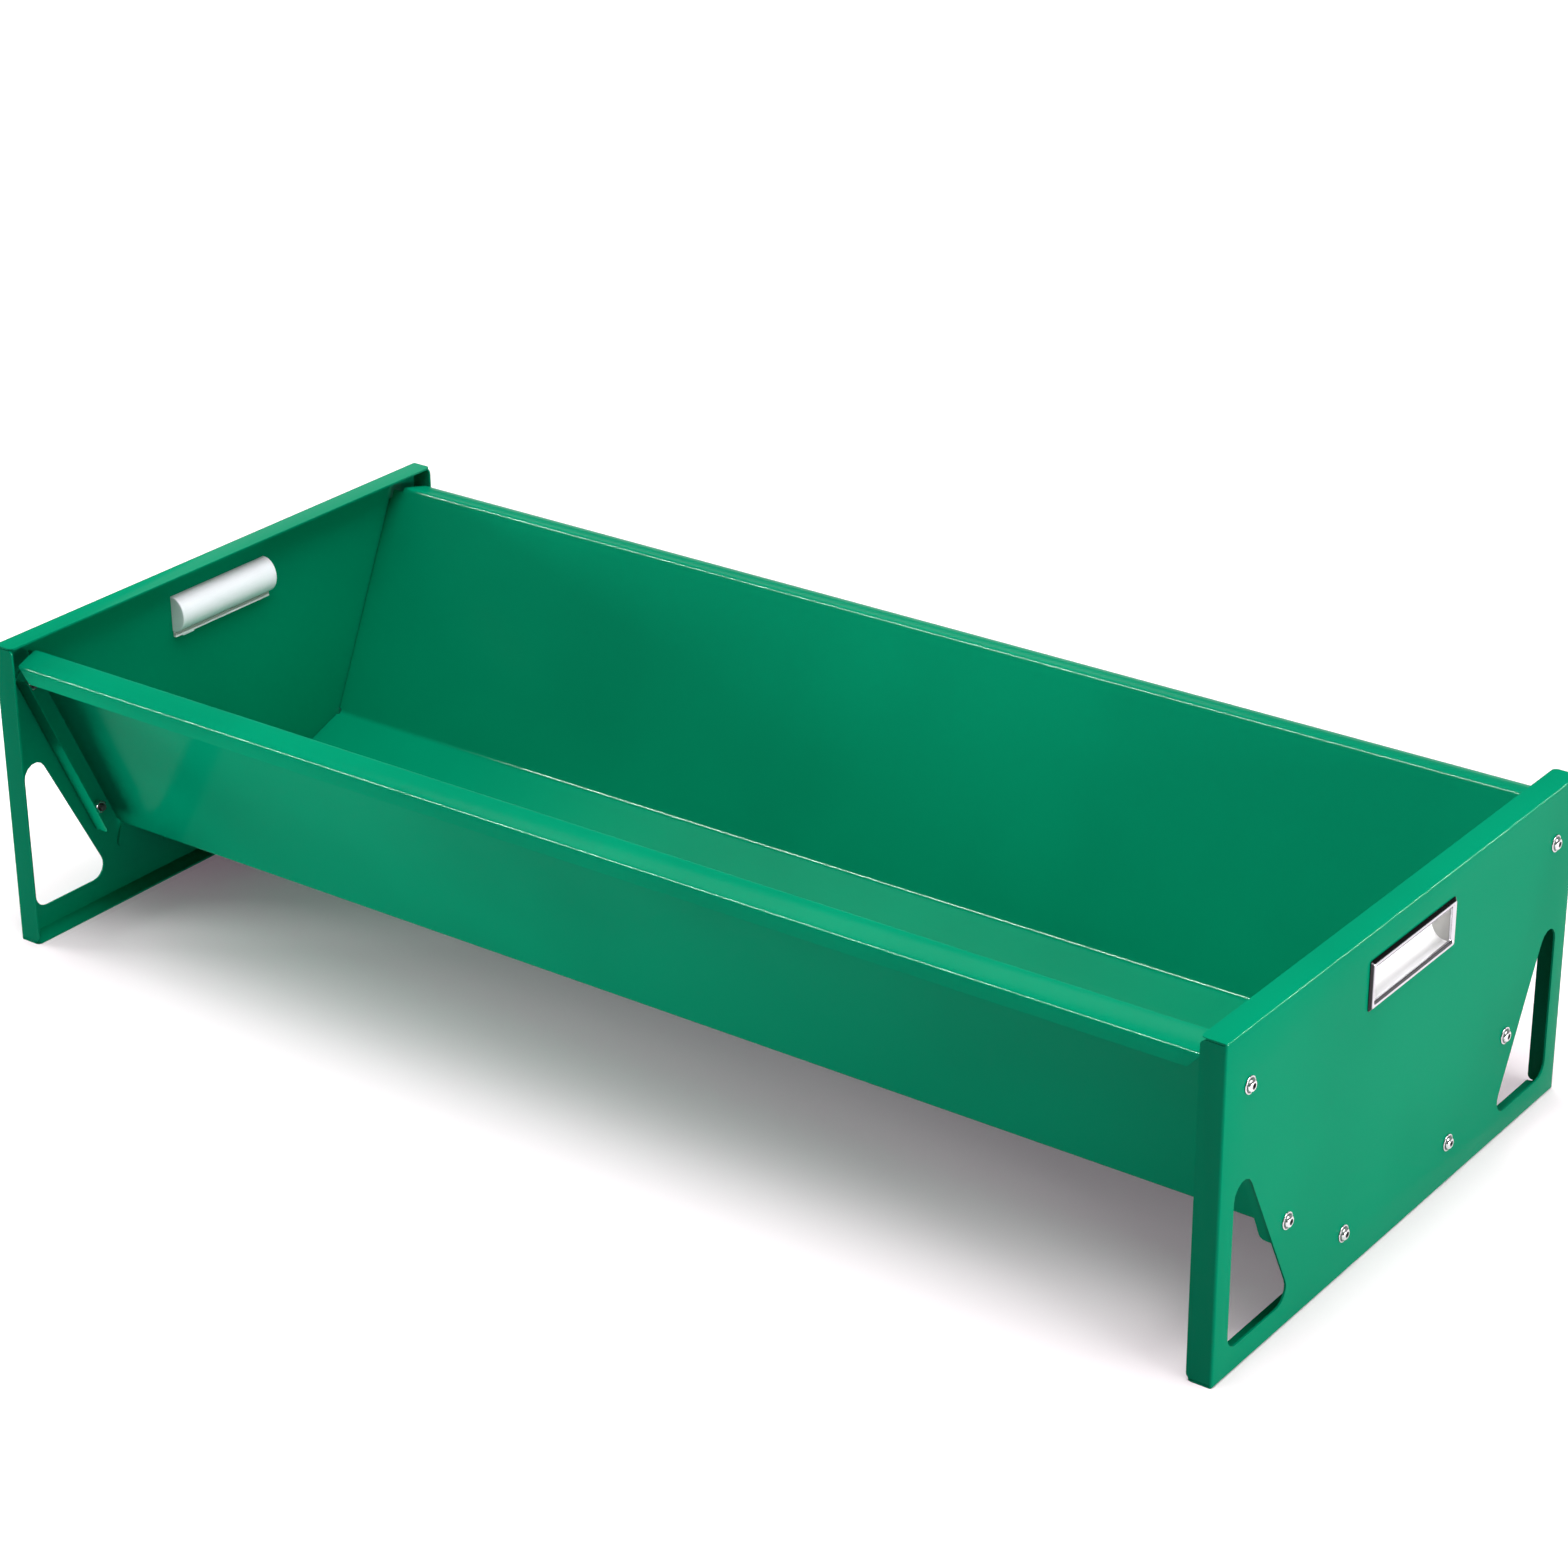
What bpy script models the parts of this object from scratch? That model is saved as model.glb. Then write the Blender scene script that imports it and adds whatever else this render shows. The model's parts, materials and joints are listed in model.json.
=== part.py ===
"""A feed trough folded from powder-coated sheet steel, with two recessed carry handles.

Metres, +Z up. +X runs along the trough, -Y is its front, and Z = 0 is the ground that it
stands on. One folded pan is bolted between two folded end panels, and each end panel
holds a recessed handle. Every fold line, hole and seat is worked out from the sizes below.
"""
import math

import bmesh
import bpy
from mathutils import Matrix, Vector

# The trough as a whole
LENGTH = 1.120
WIDTH = 0.500
HEIGHT = 0.260

# The sheet, its folds and the clearance between pieces that touch
SHEET = 0.0015
BEND = 0.0020
BEND_STEPS = 3
LEAST_FOLD = math.radians(8)
GAP = 0.0003
RELIEF_WIDTH = 0.003
RELIEF_DEPTH = 0.0035
CUT_DEPTH = 0.0045

# End panels: a plate with a flange on each side, and two windows at its lower corners
PANEL_FLANGE = 0.0202
PANEL_SEAM = 0.0006
PANEL_CORNER = 0.004
WINDOW_EDGE = 0.018
WINDOW_SILL = 0.0193
WINDOW_BASE = 0.085
WINDOW_RISE = 0.164
WINDOW_CORNER = 0.012
WINDOW_CORNER_STEPS = 6
PANEL_CORNER_STEPS = 4

# The pan's section, measured on its top side: lip, rim, wall, sloped strip and floor
RIM_INSET = 0.005
RIM_WIDTH = 0.025
RIM_FALL = 0.005
RIM_BELOW_TOP = 0.0108
LIP_DEPTH = 0.0125
LIP_MITRE = 0.0115
FOOT_INSET = 0.1152
FOOT_HEIGHT = 0.0633
FLOOR_INSET = 0.160
FLOOR_HEIGHT = 0.047

# The pan's ends: where the rim stops, and the flanges that lie against the end panels
RIM_STOP_OUTER = 0.0205
RIM_STOP_INNER = 0.0155
RIM_NOTCH = 0.004
FLANGE_REACH = 0.022
FLANGE_START = 0.012
FLANGE_CUT_BACK = 0.0135
FLANGE_ROUND = 0.006
STIFFENER_REACH = 0.016
STIFFENER_ROUND = 0.005

# Bolts and nuts
BOLT_LINE = 0.011
BOLT_FROM_RIM = 0.0298
BOLT_FROM_FOOT = 0.030
BOLT_FROM_FLOOR_FOLD = 0.0135
BOLT_RADIUS = 0.003
BOLT_LENGTH = 0.012
BOLT_HEAD_RADIUS = 0.0066
BOLT_HEAD_HEIGHT = 0.0034
BOLT_COLLAR = 0.0009
BOLT_COLLAR_EDGE = 0.0005
BOLT_COLLAR_WIDTH = 0.0018
BOLT_DOME_WIDTH = 0.002
BOLT_TIP = 0.0006
BOLT_SOCKET = 0.004
BOLT_SOCKET_DEPTH = 0.0018
NUT_ACROSS = 0.010
NUT_HEIGHT = 0.005
ROUND_STEPS = 16
DOME_STEPS = 4

# Handles: a chromed bezel outside, a half-round cup inside and the strip that holds it
HANDLE_BELOW_TOP = 0.0402
BEZEL_LENGTH = 0.122
BEZEL_HEIGHT = 0.0385
BEZEL_BORDER = 0.0065
BEZEL_THICKNESS = 0.0026
BEZEL_CORNER = 0.003
BEZEL_EDGE = 0.0011
BEZEL_STEPS = 3
CUP_LENGTH = 0.112
CUP_RADIUS = 0.0155
CUP_NECK = 0.0028
CUP_WALL = 0.001
CUP_STEPS = 18
STRIP_HEIGHT = 0.0018
STRIP_DEPTH = 0.003
TAB_LENGTH = 0.013
TAB_DROP = 0.0045
TAB_INSET = 0.010
TAB_THICKNESS = 0.001

# The middle of the handles, which keep their distance from the panels' top edge
HANDLE_Z = HEIGHT - HANDLE_BELOW_TOP

COLLECTION_NAME = "feed_trough"
MERGE = 0.00001


def clear_scene():
    """Removes every object, so that a second run starts from nothing."""
    for obj in list(bpy.data.objects):
        bpy.data.objects.remove(obj, do_unlink=True)


def new_collection(name):
    """Makes an empty collection under the scene."""
    old = bpy.data.collections.get(name)
    if old is not None:
        bpy.data.collections.remove(old)
    made = bpy.data.collections.new(name)
    bpy.context.scene.collection.children.link(made)
    return made


def new_material(name, colour, roughness, metallic):
    """Makes a Principled BSDF material."""
    made = bpy.data.materials.new(name)
    made.use_nodes = True
    shader = made.node_tree.nodes["Principled BSDF"]
    shader.inputs["Base Color"].default_value = (*colour, 1.0)
    shader.inputs["Roughness"].default_value = roughness
    shader.inputs["Metallic"].default_value = metallic
    made.diffuse_color = (*colour, 1.0)
    return made


def arc_points(centre, radius, start, end, steps):
    """Points along an arc about a centre, angles in radians, both ends included."""
    centre = Vector(centre)
    angles = [start + (end - start) * i / steps for i in range(steps + 1)]
    return [centre + radius * Vector((math.cos(angle), math.sin(angle))) for angle in angles]


def rounded_outline(corners, radii, steps):
    """A closed outline through the corners, each replaced by a tangent arc of its radius."""
    outline = []
    for i, corner in enumerate(corners):
        corner = Vector(corner)
        radius = radii[i]
        if radius == 0:
            outline.append(corner)
            continue
        back = (Vector(corners[i - 1]) - corner).normalized()
        ahead = (Vector(corners[(i + 1) % len(corners)]) - corner).normalized()
        half = back.angle(ahead) / 2
        centre = corner + (back + ahead).normalized() * radius / math.sin(half)
        reach = radius / math.tan(half)
        first = corner + back * reach - centre
        last = corner + ahead * reach - centre
        start = math.atan2(first.y, first.x)
        turn = math.atan2(first.x * last.y - first.y * last.x, first.dot(last))
        outline += arc_points(centre, radius, start, start + turn, steps)
    return outline


def rectangle(length, height):
    """The corners of a rectangle about the origin."""
    x, y = length / 2, height / 2
    return [(-x, -y), (x, -y), (x, y), (-x, y)]


def mesh_object(name, mesh, collection, material=None):
    """Links a mesh as an object with its material."""
    obj = bpy.data.objects.new(name, mesh)
    collection.objects.link(obj)
    if material is not None:
        mesh.materials.append(material)
    return obj


def baked(obj):
    """The mesh of an object as its modifiers leave it, with the object itself removed."""
    graph = bpy.context.evaluated_depsgraph_get()
    graph.update()
    mesh = bpy.data.meshes.new_from_object(obj.evaluated_get(graph))
    mesh.transform(obj.matrix_world)
    bpy.data.objects.remove(obj, do_unlink=True)
    return mesh


def plate_mesh(name, outlines, thickness, across):
    """A flat plate from closed outlines, the second and later ones being holes.

    The outline's two axes and the plate's own are the columns of across.
    """
    curve = bpy.data.curves.new(name, "CURVE")
    curve.dimensions = "2D"
    curve.fill_mode = "BOTH"
    curve.extrude = thickness / 2
    for outline in outlines:
        spline = curve.splines.new("POLY")
        spline.points.add(len(outline) - 1)
        for point, place in zip(spline.points, outline):
            point.co = (place[0], place[1], 0.0, 1.0)
        spline.use_cyclic_u = True
    obj = bpy.data.objects.new(name, curve)
    bpy.context.scene.collection.objects.link(obj)
    mesh = baked(obj)
    bpy.data.curves.remove(curve)
    shape = bmesh.new()
    shape.from_mesh(mesh)
    bmesh.ops.remove_doubles(shape, verts=shape.verts, dist=MERGE)
    bmesh.ops.transform(shape, matrix=across, verts=shape.verts)
    bmesh.ops.recalc_face_normals(shape, faces=shape.faces)
    shape.to_mesh(mesh)
    shape.free()
    return mesh


def frame_at(origin, first, second):
    """A matrix whose columns are two axes, their cross product and an origin."""
    first = Vector(first)
    second = Vector(second)
    third = first.cross(second)
    matrix = Matrix((first, second, third)).transposed().to_4x4()
    matrix.translation = origin
    return matrix


def cutter_object(name, mesh, collection):
    """Links a mesh as a cutter, which is drawn as wire and never rendered."""
    obj = mesh_object(name, mesh, collection)
    obj.display_type = "WIRE"
    obj.hide_render = True
    return obj


def cut(obj, cutter):
    """Cuts one object out of another."""
    modifier = obj.modifiers.new("cut_" + cutter.name, "BOOLEAN")
    modifier.operation = "DIFFERENCE"
    modifier.solver = "EXACT"
    modifier.object = cutter


def sheet_mesh(name, faces, outward):
    """An open surface from the flat faces of a folded sheet, which share their corners.

    The first face looks along outward, and the others follow it.
    """
    mesh = bpy.data.meshes.new(name)
    shape = bmesh.new()
    for face in faces:
        shape.faces.new([shape.verts.new(place) for place in face])
    bmesh.ops.remove_doubles(shape, verts=shape.verts, dist=MERGE)
    bmesh.ops.recalc_face_normals(shape, faces=shape.faces)
    shape.faces.ensure_lookup_table()
    shape.normal_update()
    if shape.faces[0].normal.dot(Vector(outward)) < 0:
        bmesh.ops.reverse_faces(shape, faces=shape.faces)
    shape.to_mesh(mesh)
    shape.free()
    return mesh


def fold_and_thicken(obj, marked=False):
    """Rounds the folds of an open sheet, or only the marked ones, and gives it its thickness."""
    bend = obj.modifiers.new("bend", "BEVEL")
    bend.width = BEND
    bend.segments = BEND_STEPS
    bend.limit_method = "WEIGHT" if marked else "ANGLE"
    bend.angle_limit = LEAST_FOLD
    bend.use_clamp_overlap = False
    thick = obj.modifiers.new("sheet", "SOLIDIFY")
    thick.thickness = SHEET
    thick.offset = -1.0
    thick.use_even_offset = True


def shade_round(mesh, angle=35):
    """Shades a mesh smooth, with its sharp edges kept."""
    mesh.shade_smooth()
    mesh.set_sharp_from_angle(angle=math.radians(angle))


class Facet:
    """One flat strip of the pan's section, from one fold line to the next, as (y, z).

    along runs down the strip and out points to its underside, away from the feed.
    """

    def __init__(self, start, end):
        self.start = Vector(start)
        self.end = Vector(end)
        self.length = (self.end - self.start).length
        self.along = (self.end - self.start).normalized()
        self.out = Vector((self.along.y, -self.along.x))
        if self.out.y > 0:
            self.out.negate()

    def at(self, along, out=0.0):
        """A point on the strip, or out from it on its underside."""
        return self.start + self.along * along + self.out * out


def pan_section():
    """The fold points of the pan's front half on its top side, as (y, z)."""
    front = -WIDTH / 2
    crest = HEIGHT - RIM_BELOW_TOP
    outer = front + RIM_INSET
    return {
        "lip": Vector((outer, crest - RIM_FALL - LIP_DEPTH)),
        "rim": Vector((outer, crest - RIM_FALL)),
        "crest": Vector((outer + RIM_WIDTH, crest)),
        "foot": Vector((front + FOOT_INSET, FOOT_HEIGHT)),
        "floor": Vector((front + FLOOR_INSET, FLOOR_HEIGHT)),
        "middle": Vector((0.0, FLOOR_HEIGHT)),
    }


def pan_facets():
    """The three strips of the pan's front half that carry end flanges."""
    fold = pan_section()
    return {
        "wall": Facet(fold["crest"], fold["foot"]),
        "slope": Facet(fold["foot"], fold["floor"]),
        "floor": Facet(fold["floor"], fold["middle"]),
    }


def bolt_points():
    """Where the six bolts of an end go through, as (y, z), front ones first."""
    facets = pan_facets()
    wall = facets["wall"]
    out = SHEET + BOLT_LINE
    front = [
        wall.at(BOLT_FROM_RIM, out),
        wall.at(wall.length - BOLT_FROM_FOOT, out),
        facets["floor"].at(BOLT_FROM_FLOOR_FOLD, out),
    ]
    return front + [Vector((-point.x, point.y)) for point in front]


def spot(x, point):
    """A 3-D point from an X and a (y, z)."""
    return Vector((x, point[0], point[1]))


def wall_flange_faces(wall, face_x):
    """The wall's end flange and the stiffener folded back along its outer edge."""
    reach = SHEET + FLANGE_REACH
    top = FLANGE_START
    low = wall.length - RELIEF_WIDTH
    outer_top = top + STIFFENER_ROUND
    outer_low = wall.length - FLANGE_CUT_BACK
    flange = [
        spot(face_x, wall.at(top)),
        spot(face_x, wall.at(low)),
        spot(face_x, wall.at(outer_low, reach)),
        spot(face_x, wall.at(outer_top, reach)),
    ]
    edge_x = face_x - STIFFENER_REACH
    corners = [(face_x, outer_top), (face_x, outer_low), (edge_x, outer_low), (edge_x, outer_top)]
    outline = rounded_outline(corners, [0, 0, STIFFENER_ROUND, STIFFENER_ROUND], BEND_STEPS)
    stiffener = [spot(x, wall.at(along, reach)) for x, along in outline]
    return [flange, stiffener]


def plain_flange_face(facet, face_x, start, end, rounded):
    """An end flange square to its strip, between two places along it."""
    reach = SHEET + FLANGE_REACH
    corners = [(start, 0), (end, 0), (end, reach), (start, reach)]
    outline = rounded_outline(corners, [0, 0, rounded[1], rounded[0]], BEND_STEPS)
    return [spot(face_x, facet.at(along, out)) for along, out in outline]


def pan_quarter_faces():
    """The flat faces of the pan's front right quarter, on its top side."""
    fold = pan_section()
    facets = pan_facets()
    wall, slope, floor = facets["wall"], facets["slope"], facets["floor"]
    face_x = LENGTH / 2 - SHEET - GAP
    relief_x = face_x - RELIEF_DEPTH
    rim_x = LENGTH / 2 - RIM_STOP_INNER
    lip_x = LENGTH / 2 - RIM_STOP_OUTER

    lip = [
        spot(0, fold["lip"]),
        spot(0, fold["rim"]),
        spot(lip_x, fold["rim"]),
        spot(lip_x - LIP_MITRE, fold["lip"]),
    ]
    rim = [
        spot(0, fold["rim"]),
        spot(0, fold["crest"]),
        spot(rim_x, fold["crest"]),
        spot(lip_x, fold["rim"]),
    ]
    wall_face = [
        spot(0, fold["crest"]),
        spot(0, fold["foot"]),
        spot(relief_x, fold["foot"]),
        spot(relief_x, wall.at(wall.length - RELIEF_WIDTH)),
        spot(face_x, wall.at(wall.length - RELIEF_WIDTH)),
        spot(face_x, wall.at(FLANGE_START)),
        spot(relief_x, wall.at(FLANGE_START)),
        spot(relief_x, wall.at(RIM_NOTCH)),
        spot(rim_x, wall.at(RIM_NOTCH)),
        spot(rim_x, fold["crest"]),
    ]
    slope_face = [
        spot(0, fold["foot"]),
        spot(0, fold["floor"]),
        spot(relief_x, fold["floor"]),
        spot(relief_x, slope.at(slope.length - RELIEF_WIDTH)),
        spot(face_x, slope.at(slope.length - RELIEF_WIDTH)),
        spot(face_x, slope.at(RELIEF_WIDTH)),
        spot(relief_x, slope.at(RELIEF_WIDTH)),
        spot(relief_x, fold["foot"]),
    ]
    floor_face = [
        spot(0, fold["floor"]),
        spot(0, fold["middle"]),
        spot(face_x, fold["middle"]),
        spot(face_x, floor.at(RELIEF_WIDTH)),
        spot(relief_x, floor.at(RELIEF_WIDTH)),
        spot(relief_x, fold["floor"]),
    ]
    slope_flange = plain_flange_face(
        slope, face_x, RELIEF_WIDTH, slope.length - RELIEF_WIDTH, (FLANGE_ROUND, FLANGE_ROUND))
    floor_flange = plain_flange_face(floor, face_x, RELIEF_WIDTH, floor.length, (FLANGE_ROUND, 0))
    flanges = wall_flange_faces(wall, face_x) + [slope_flange, floor_flange]
    return [rim, lip, wall_face, slope_face, floor_face] + flanges


def make_pan(parts, cutters, coat):
    """The pan: one sheet folded to a trough, with flanges at its ends, cut for the bolts."""
    quarter = sheet_mesh("trough_pan", pan_quarter_faces(), (0, 0, 1))
    pan = mesh_object("trough_pan", quarter, parts, coat)
    mirror = pan.modifiers.new("both_ways", "MIRROR")
    mirror.use_axis = (True, True, False)
    mirror.merge_threshold = MERGE
    fold_and_thicken(pan)
    face_x = LENGTH / 2 - SHEET - GAP
    for side, name in ((-1, "left"), (1, "right")):
        cut(pan, hole_cutter("pan_holes_" + name, side * (face_x - SHEET / 2), cutters))
    shade_round(pan.data)


def hole_cutter(name, centre_x, cutters):
    """The six bolt holes of an end as one cutter, through a sheet centred on an X."""
    shape = bmesh.new()
    for point in bolt_points():
        bmesh.ops.create_cone(
            shape, cap_ends=True, segments=ROUND_STEPS,
            radius1=BOLT_RADIUS + GAP, radius2=BOLT_RADIUS + GAP, depth=CUT_DEPTH,
            matrix=Matrix.Translation(spot(centre_x, point)) @ Matrix.Rotation(math.pi / 2, 4, "Y"),
        )
    mesh = bpy.data.meshes.new(name)
    shape.to_mesh(mesh)
    shape.free()
    return cutter_object(name, mesh, cutters)


def panel_shell(name, side):
    """An end panel's outer side as an open box, with its outer face's edges marked for rounding."""
    mesh = bpy.data.meshes.new(name)
    shape = bmesh.new()
    bmesh.ops.create_cube(shape, size=1.0)
    bmesh.ops.scale(shape, vec=(PANEL_FLANGE, WIDTH, HEIGHT), verts=shape.verts)
    middle = (side * (LENGTH - PANEL_FLANGE) / 2, 0, HEIGHT / 2)
    bmesh.ops.translate(shape, vec=middle, verts=shape.verts)
    inner = [face for face in shape.faces if face.normal.x * side < -0.5]
    bmesh.ops.delete(shape, geom=inner, context="FACES_ONLY")
    weight = shape.edges.layers.float.new("bevel_weight_edge")
    for face in shape.faces:
        if face.normal.x * side > 0.5:
            for edge in face.edges:
                edge[weight] = 1.0
    shape.to_mesh(mesh)
    shape.free()
    return mesh


def box_mesh(name, low, high):
    """A box between two opposite corners, given in either order."""
    mesh = bpy.data.meshes.new(name)
    shape = bmesh.new()
    bmesh.ops.create_cube(shape, size=1.0)
    low, high = Vector(low), Vector(high)
    size = Vector([abs(b - a) for a, b in zip(low, high)])
    bmesh.ops.scale(shape, vec=size, verts=shape.verts)
    bmesh.ops.translate(shape, vec=(low + high) / 2, verts=shape.verts)
    shape.to_mesh(mesh)
    shape.free()
    return mesh


def corner_outline(corner, across, down, radius):
    """What rounding takes off a square corner: the corner less a quarter circle.

    It reaches a sheet's thickness past both edges.
    """
    corner, across, down = Vector(corner), Vector(across), Vector(down)
    centre = corner + (across + down) * radius
    arc = [
        centre - radius * (across * turned.x + down * turned.y)
        for turned in arc_points((0, 0), 1.0, math.pi / 2, 0.0, PANEL_CORNER_STEPS)
    ]
    return arc + [
        corner - across * SHEET + down * radius,
        corner - across * SHEET - down * SHEET,
        corner + across * radius - down * SHEET,
    ]


def cut_panel_corners(panel, side, cutters):
    """Opens the seams between an end panel's flanges, and rounds the flanges' free corners."""
    edge_x = side * (LENGTH / 2 - PANEL_FLANGE)
    past_x = edge_x - side * SHEET
    fold_x = side * (LENGTH / 2 - BEND)
    inward = Vector((side, 0))
    for y_side, y_name in ((-1, "front"), (1, "back")):
        for z_side, z_name in ((-1, "low"), (1, "top")):
            name = panel.name + "_" + y_name + "_" + z_name
            rim_z = HEIGHT if z_side > 0 else 0.0
            seam_z = rim_z - z_side * SHEET
            outer_y = y_side * WIDTH / 2
            low = (past_x, outer_y + y_side * SHEET, seam_z - z_side * PANEL_SEAM)
            high = (fold_x, outer_y - y_side * SHEET, seam_z)
            cut(panel, cutter_object(name + "_seam", box_mesh(name + "_seam", low, high), cutters))
            upright = corner_outline(
                (edge_x, seam_z - z_side * PANEL_SEAM), inward, (0, -z_side), PANEL_CORNER)
            across = frame_at((0, outer_y, 0), (1, 0, 0), (0, 0, 1))
            mesh = plate_mesh(name + "_upright", [upright], CUT_DEPTH, across)
            cut(panel, cutter_object(mesh.name, mesh, cutters))
            level = corner_outline((edge_x, outer_y), inward, (0, -y_side), PANEL_CORNER)
            across = frame_at((0, 0, rim_z), (1, 0, 0), (0, 1, 0))
            mesh = plate_mesh(name + "_level", [level], CUT_DEPTH, across)
            cut(panel, cutter_object(mesh.name, mesh, cutters))


def make_panel(name, side, parts, cutters, coat):
    """An end panel: a plate flanged on all sides, cut for windows, handle and bolts."""
    panel = mesh_object(name, panel_shell(name, side), parts, coat)
    fold_and_thicken(panel, marked=True)
    cut_panel_corners(panel, side, cutters)
    centre_x = side * (LENGTH / 2 - SHEET / 2)
    low = [
        (-WIDTH / 2 + WINDOW_EDGE, WINDOW_SILL),
        (-WIDTH / 2 + WINDOW_EDGE + WINDOW_BASE, WINDOW_SILL),
        (-WIDTH / 2 + WINDOW_EDGE, WINDOW_SILL + WINDOW_RISE),
    ]
    front = rounded_outline(low, [WINDOW_CORNER] * 3, WINDOW_CORNER_STEPS)
    back = [Vector((-point.x, point.y)) for point in reversed(front)]
    around_cup = rectangle(CUP_LENGTH + 2 * GAP, 2 * (CUP_RADIUS + GAP))
    slot = [(y, HANDLE_Z + z) for y, z in around_cup]
    across = frame_at((centre_x, 0, 0), (0, 1, 0), (0, 0, 1))
    for label, outline in (("window_front", front), ("window_back", back), ("handle_slot", slot)):
        mesh = plate_mesh(name + "_" + label, [outline], CUT_DEPTH, across)
        cut(panel, cutter_object(mesh.name, mesh, cutters))
    cut(panel, hole_cutter(name + "_holes", centre_x, cutters))
    shade_round(panel.data)


def bolt_profile():
    """Half the bolt's outline from the top of its head down to its tip, as (radius, height)."""
    crown = BOLT_HEAD_RADIUS - BOLT_COLLAR_WIDTH - BOLT_DOME_WIDTH
    dome = [
        (crown + BOLT_DOME_WIDTH * turned.y, BOLT_COLLAR + (BOLT_HEAD_HEIGHT - BOLT_COLLAR) * turned.x)
        for turned in arc_points((0, 0), 1.0, 0.0, math.pi / 2, DOME_STEPS)
    ]
    return [(0.0, BOLT_HEAD_HEIGHT)] + dome + [
        (BOLT_HEAD_RADIUS, BOLT_COLLAR_EDGE),
        (BOLT_HEAD_RADIUS, 0.0),
        (BOLT_RADIUS, 0.0),
        (BOLT_RADIUS, BOLT_TIP - BOLT_LENGTH),
        (BOLT_RADIUS - BOLT_TIP, -BOLT_LENGTH),
        (0.0, -BOLT_LENGTH),
    ]


def turned_mesh(name, profile, steps):
    """A closed turned solid about Z from a profile that runs down its outer side."""
    mesh = bpy.data.meshes.new(name)
    places = [(radius, 0.0, height) for radius, height in profile]
    mesh.from_pydata(places, [(i, i + 1) for i in range(len(places) - 1)], [])
    obj = bpy.data.objects.new(name, mesh)
    bpy.context.scene.collection.objects.link(obj)
    screw = obj.modifiers.new("turn", "SCREW")
    screw.axis = "Z"
    screw.steps = steps
    screw.render_steps = steps
    screw.use_merge_vertices = True
    screw.merge_threshold = MERGE
    made = baked(obj)
    bpy.data.meshes.remove(mesh)
    made.name = name
    return made


def prism_mesh(name, radius, sides, low, high):
    """A closed prism along Z, from one height to another."""
    mesh = bpy.data.meshes.new(name)
    shape = bmesh.new()
    bmesh.ops.create_cone(
        shape, cap_ends=True, segments=sides, radius1=radius, radius2=radius, depth=high - low,
        matrix=Matrix.Translation((0, 0, (low + high) / 2)),
    )
    shape.to_mesh(mesh)
    shape.free()
    return mesh


def bored_mesh(name, solid, bore, cutters):
    """A solid with another cut out of it, as one mesh."""
    obj = mesh_object(name, solid, cutters)
    tool = cutter_object(name + "_bore", bore, cutters)
    cut(obj, tool)
    made = baked(obj)
    bpy.data.objects.remove(tool, do_unlink=True)
    shade_round(made)
    return made


def hexagon_radius(across):
    """The corner radius of a hexagon from its width across the flats."""
    return across / math.sqrt(3)


def bolt_mesh(cutters):
    """A button-head bolt along Z with a collar and a hexagonal socket."""
    solid = turned_mesh("bolt", bolt_profile(), ROUND_STEPS)
    floor = BOLT_HEAD_HEIGHT - BOLT_SOCKET_DEPTH
    above = BOLT_HEAD_HEIGHT + BOLT_SOCKET_DEPTH
    socket = prism_mesh("socket", hexagon_radius(BOLT_SOCKET), 6, floor, above)
    return bored_mesh("bolt", solid, socket, cutters)


def nut_mesh(cutters):
    """A hexagonal nut along Z, its base at the origin."""
    solid = prism_mesh("nut", hexagon_radius(NUT_ACROSS), 6, 0.0, NUT_HEIGHT)
    bore = prism_mesh("bore", BOLT_RADIUS + GAP, ROUND_STEPS, -NUT_HEIGHT, 2 * NUT_HEIGHT)
    return bored_mesh("nut", solid, bore, cutters)


def make_fasteners(parts, cutters, zinc):
    """A bolt and a nut at each of the six places of both ends."""
    bolt = bolt_mesh(cutters)
    nut = nut_mesh(cutters)
    bolt.materials.append(zinc)
    nut.materials.append(zinc)
    places = [a + "_" + b for a in ("front", "back") for b in ("top", "mid", "low")]
    stack = SHEET + GAP + SHEET + GAP
    for side, end in ((-1, "left"), (1, "right")):
        for place, point in zip(places, bolt_points()):
            outward = Matrix.Rotation(side * math.pi / 2, 4, "Y")
            inward = Matrix.Rotation(-side * math.pi / 2, 4, "Y")
            head = bpy.data.objects.new("bolt_" + end + "_" + place, bolt)
            head.matrix_world = Matrix.Translation(spot(side * (LENGTH / 2 + GAP), point)) @ outward
            parts.objects.link(head)
            grip = bpy.data.objects.new("nut_" + end + "_" + place, nut)
            grip.matrix_world = Matrix.Translation(spot(side * (LENGTH / 2 - stack), point)) @ inward
            parts.objects.link(grip)


def make_bezel(name, side, parts, chrome):
    """The chromed frame that lies on the outside of an end panel."""
    around = rectangle(BEZEL_LENGTH, BEZEL_HEIGHT)
    opening = rectangle(BEZEL_LENGTH - 2 * BEZEL_BORDER, BEZEL_HEIGHT - 2 * BEZEL_BORDER)
    outer = rounded_outline(around, [BEZEL_CORNER] * 4, BEZEL_STEPS)
    inner = rounded_outline(opening, [BEZEL_CORNER] * 4, BEZEL_STEPS)
    centre_x = side * (LENGTH / 2 + GAP + BEZEL_THICKNESS / 2)
    across = frame_at((centre_x, 0, HANDLE_Z), (0, 1, 0), (0, 0, 1))
    plate = plate_mesh(name, [outer, inner], BEZEL_THICKNESS, across)
    bezel = mesh_object(name, plate, parts, chrome)
    edge = bezel.modifiers.new("rolled_edge", "BEVEL")
    edge.width = BEZEL_EDGE
    edge.segments = BEZEL_STEPS
    edge.limit_method = "ANGLE"
    edge.angle_limit = math.radians(50)
    shade_round(bezel.data, 60)


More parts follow.
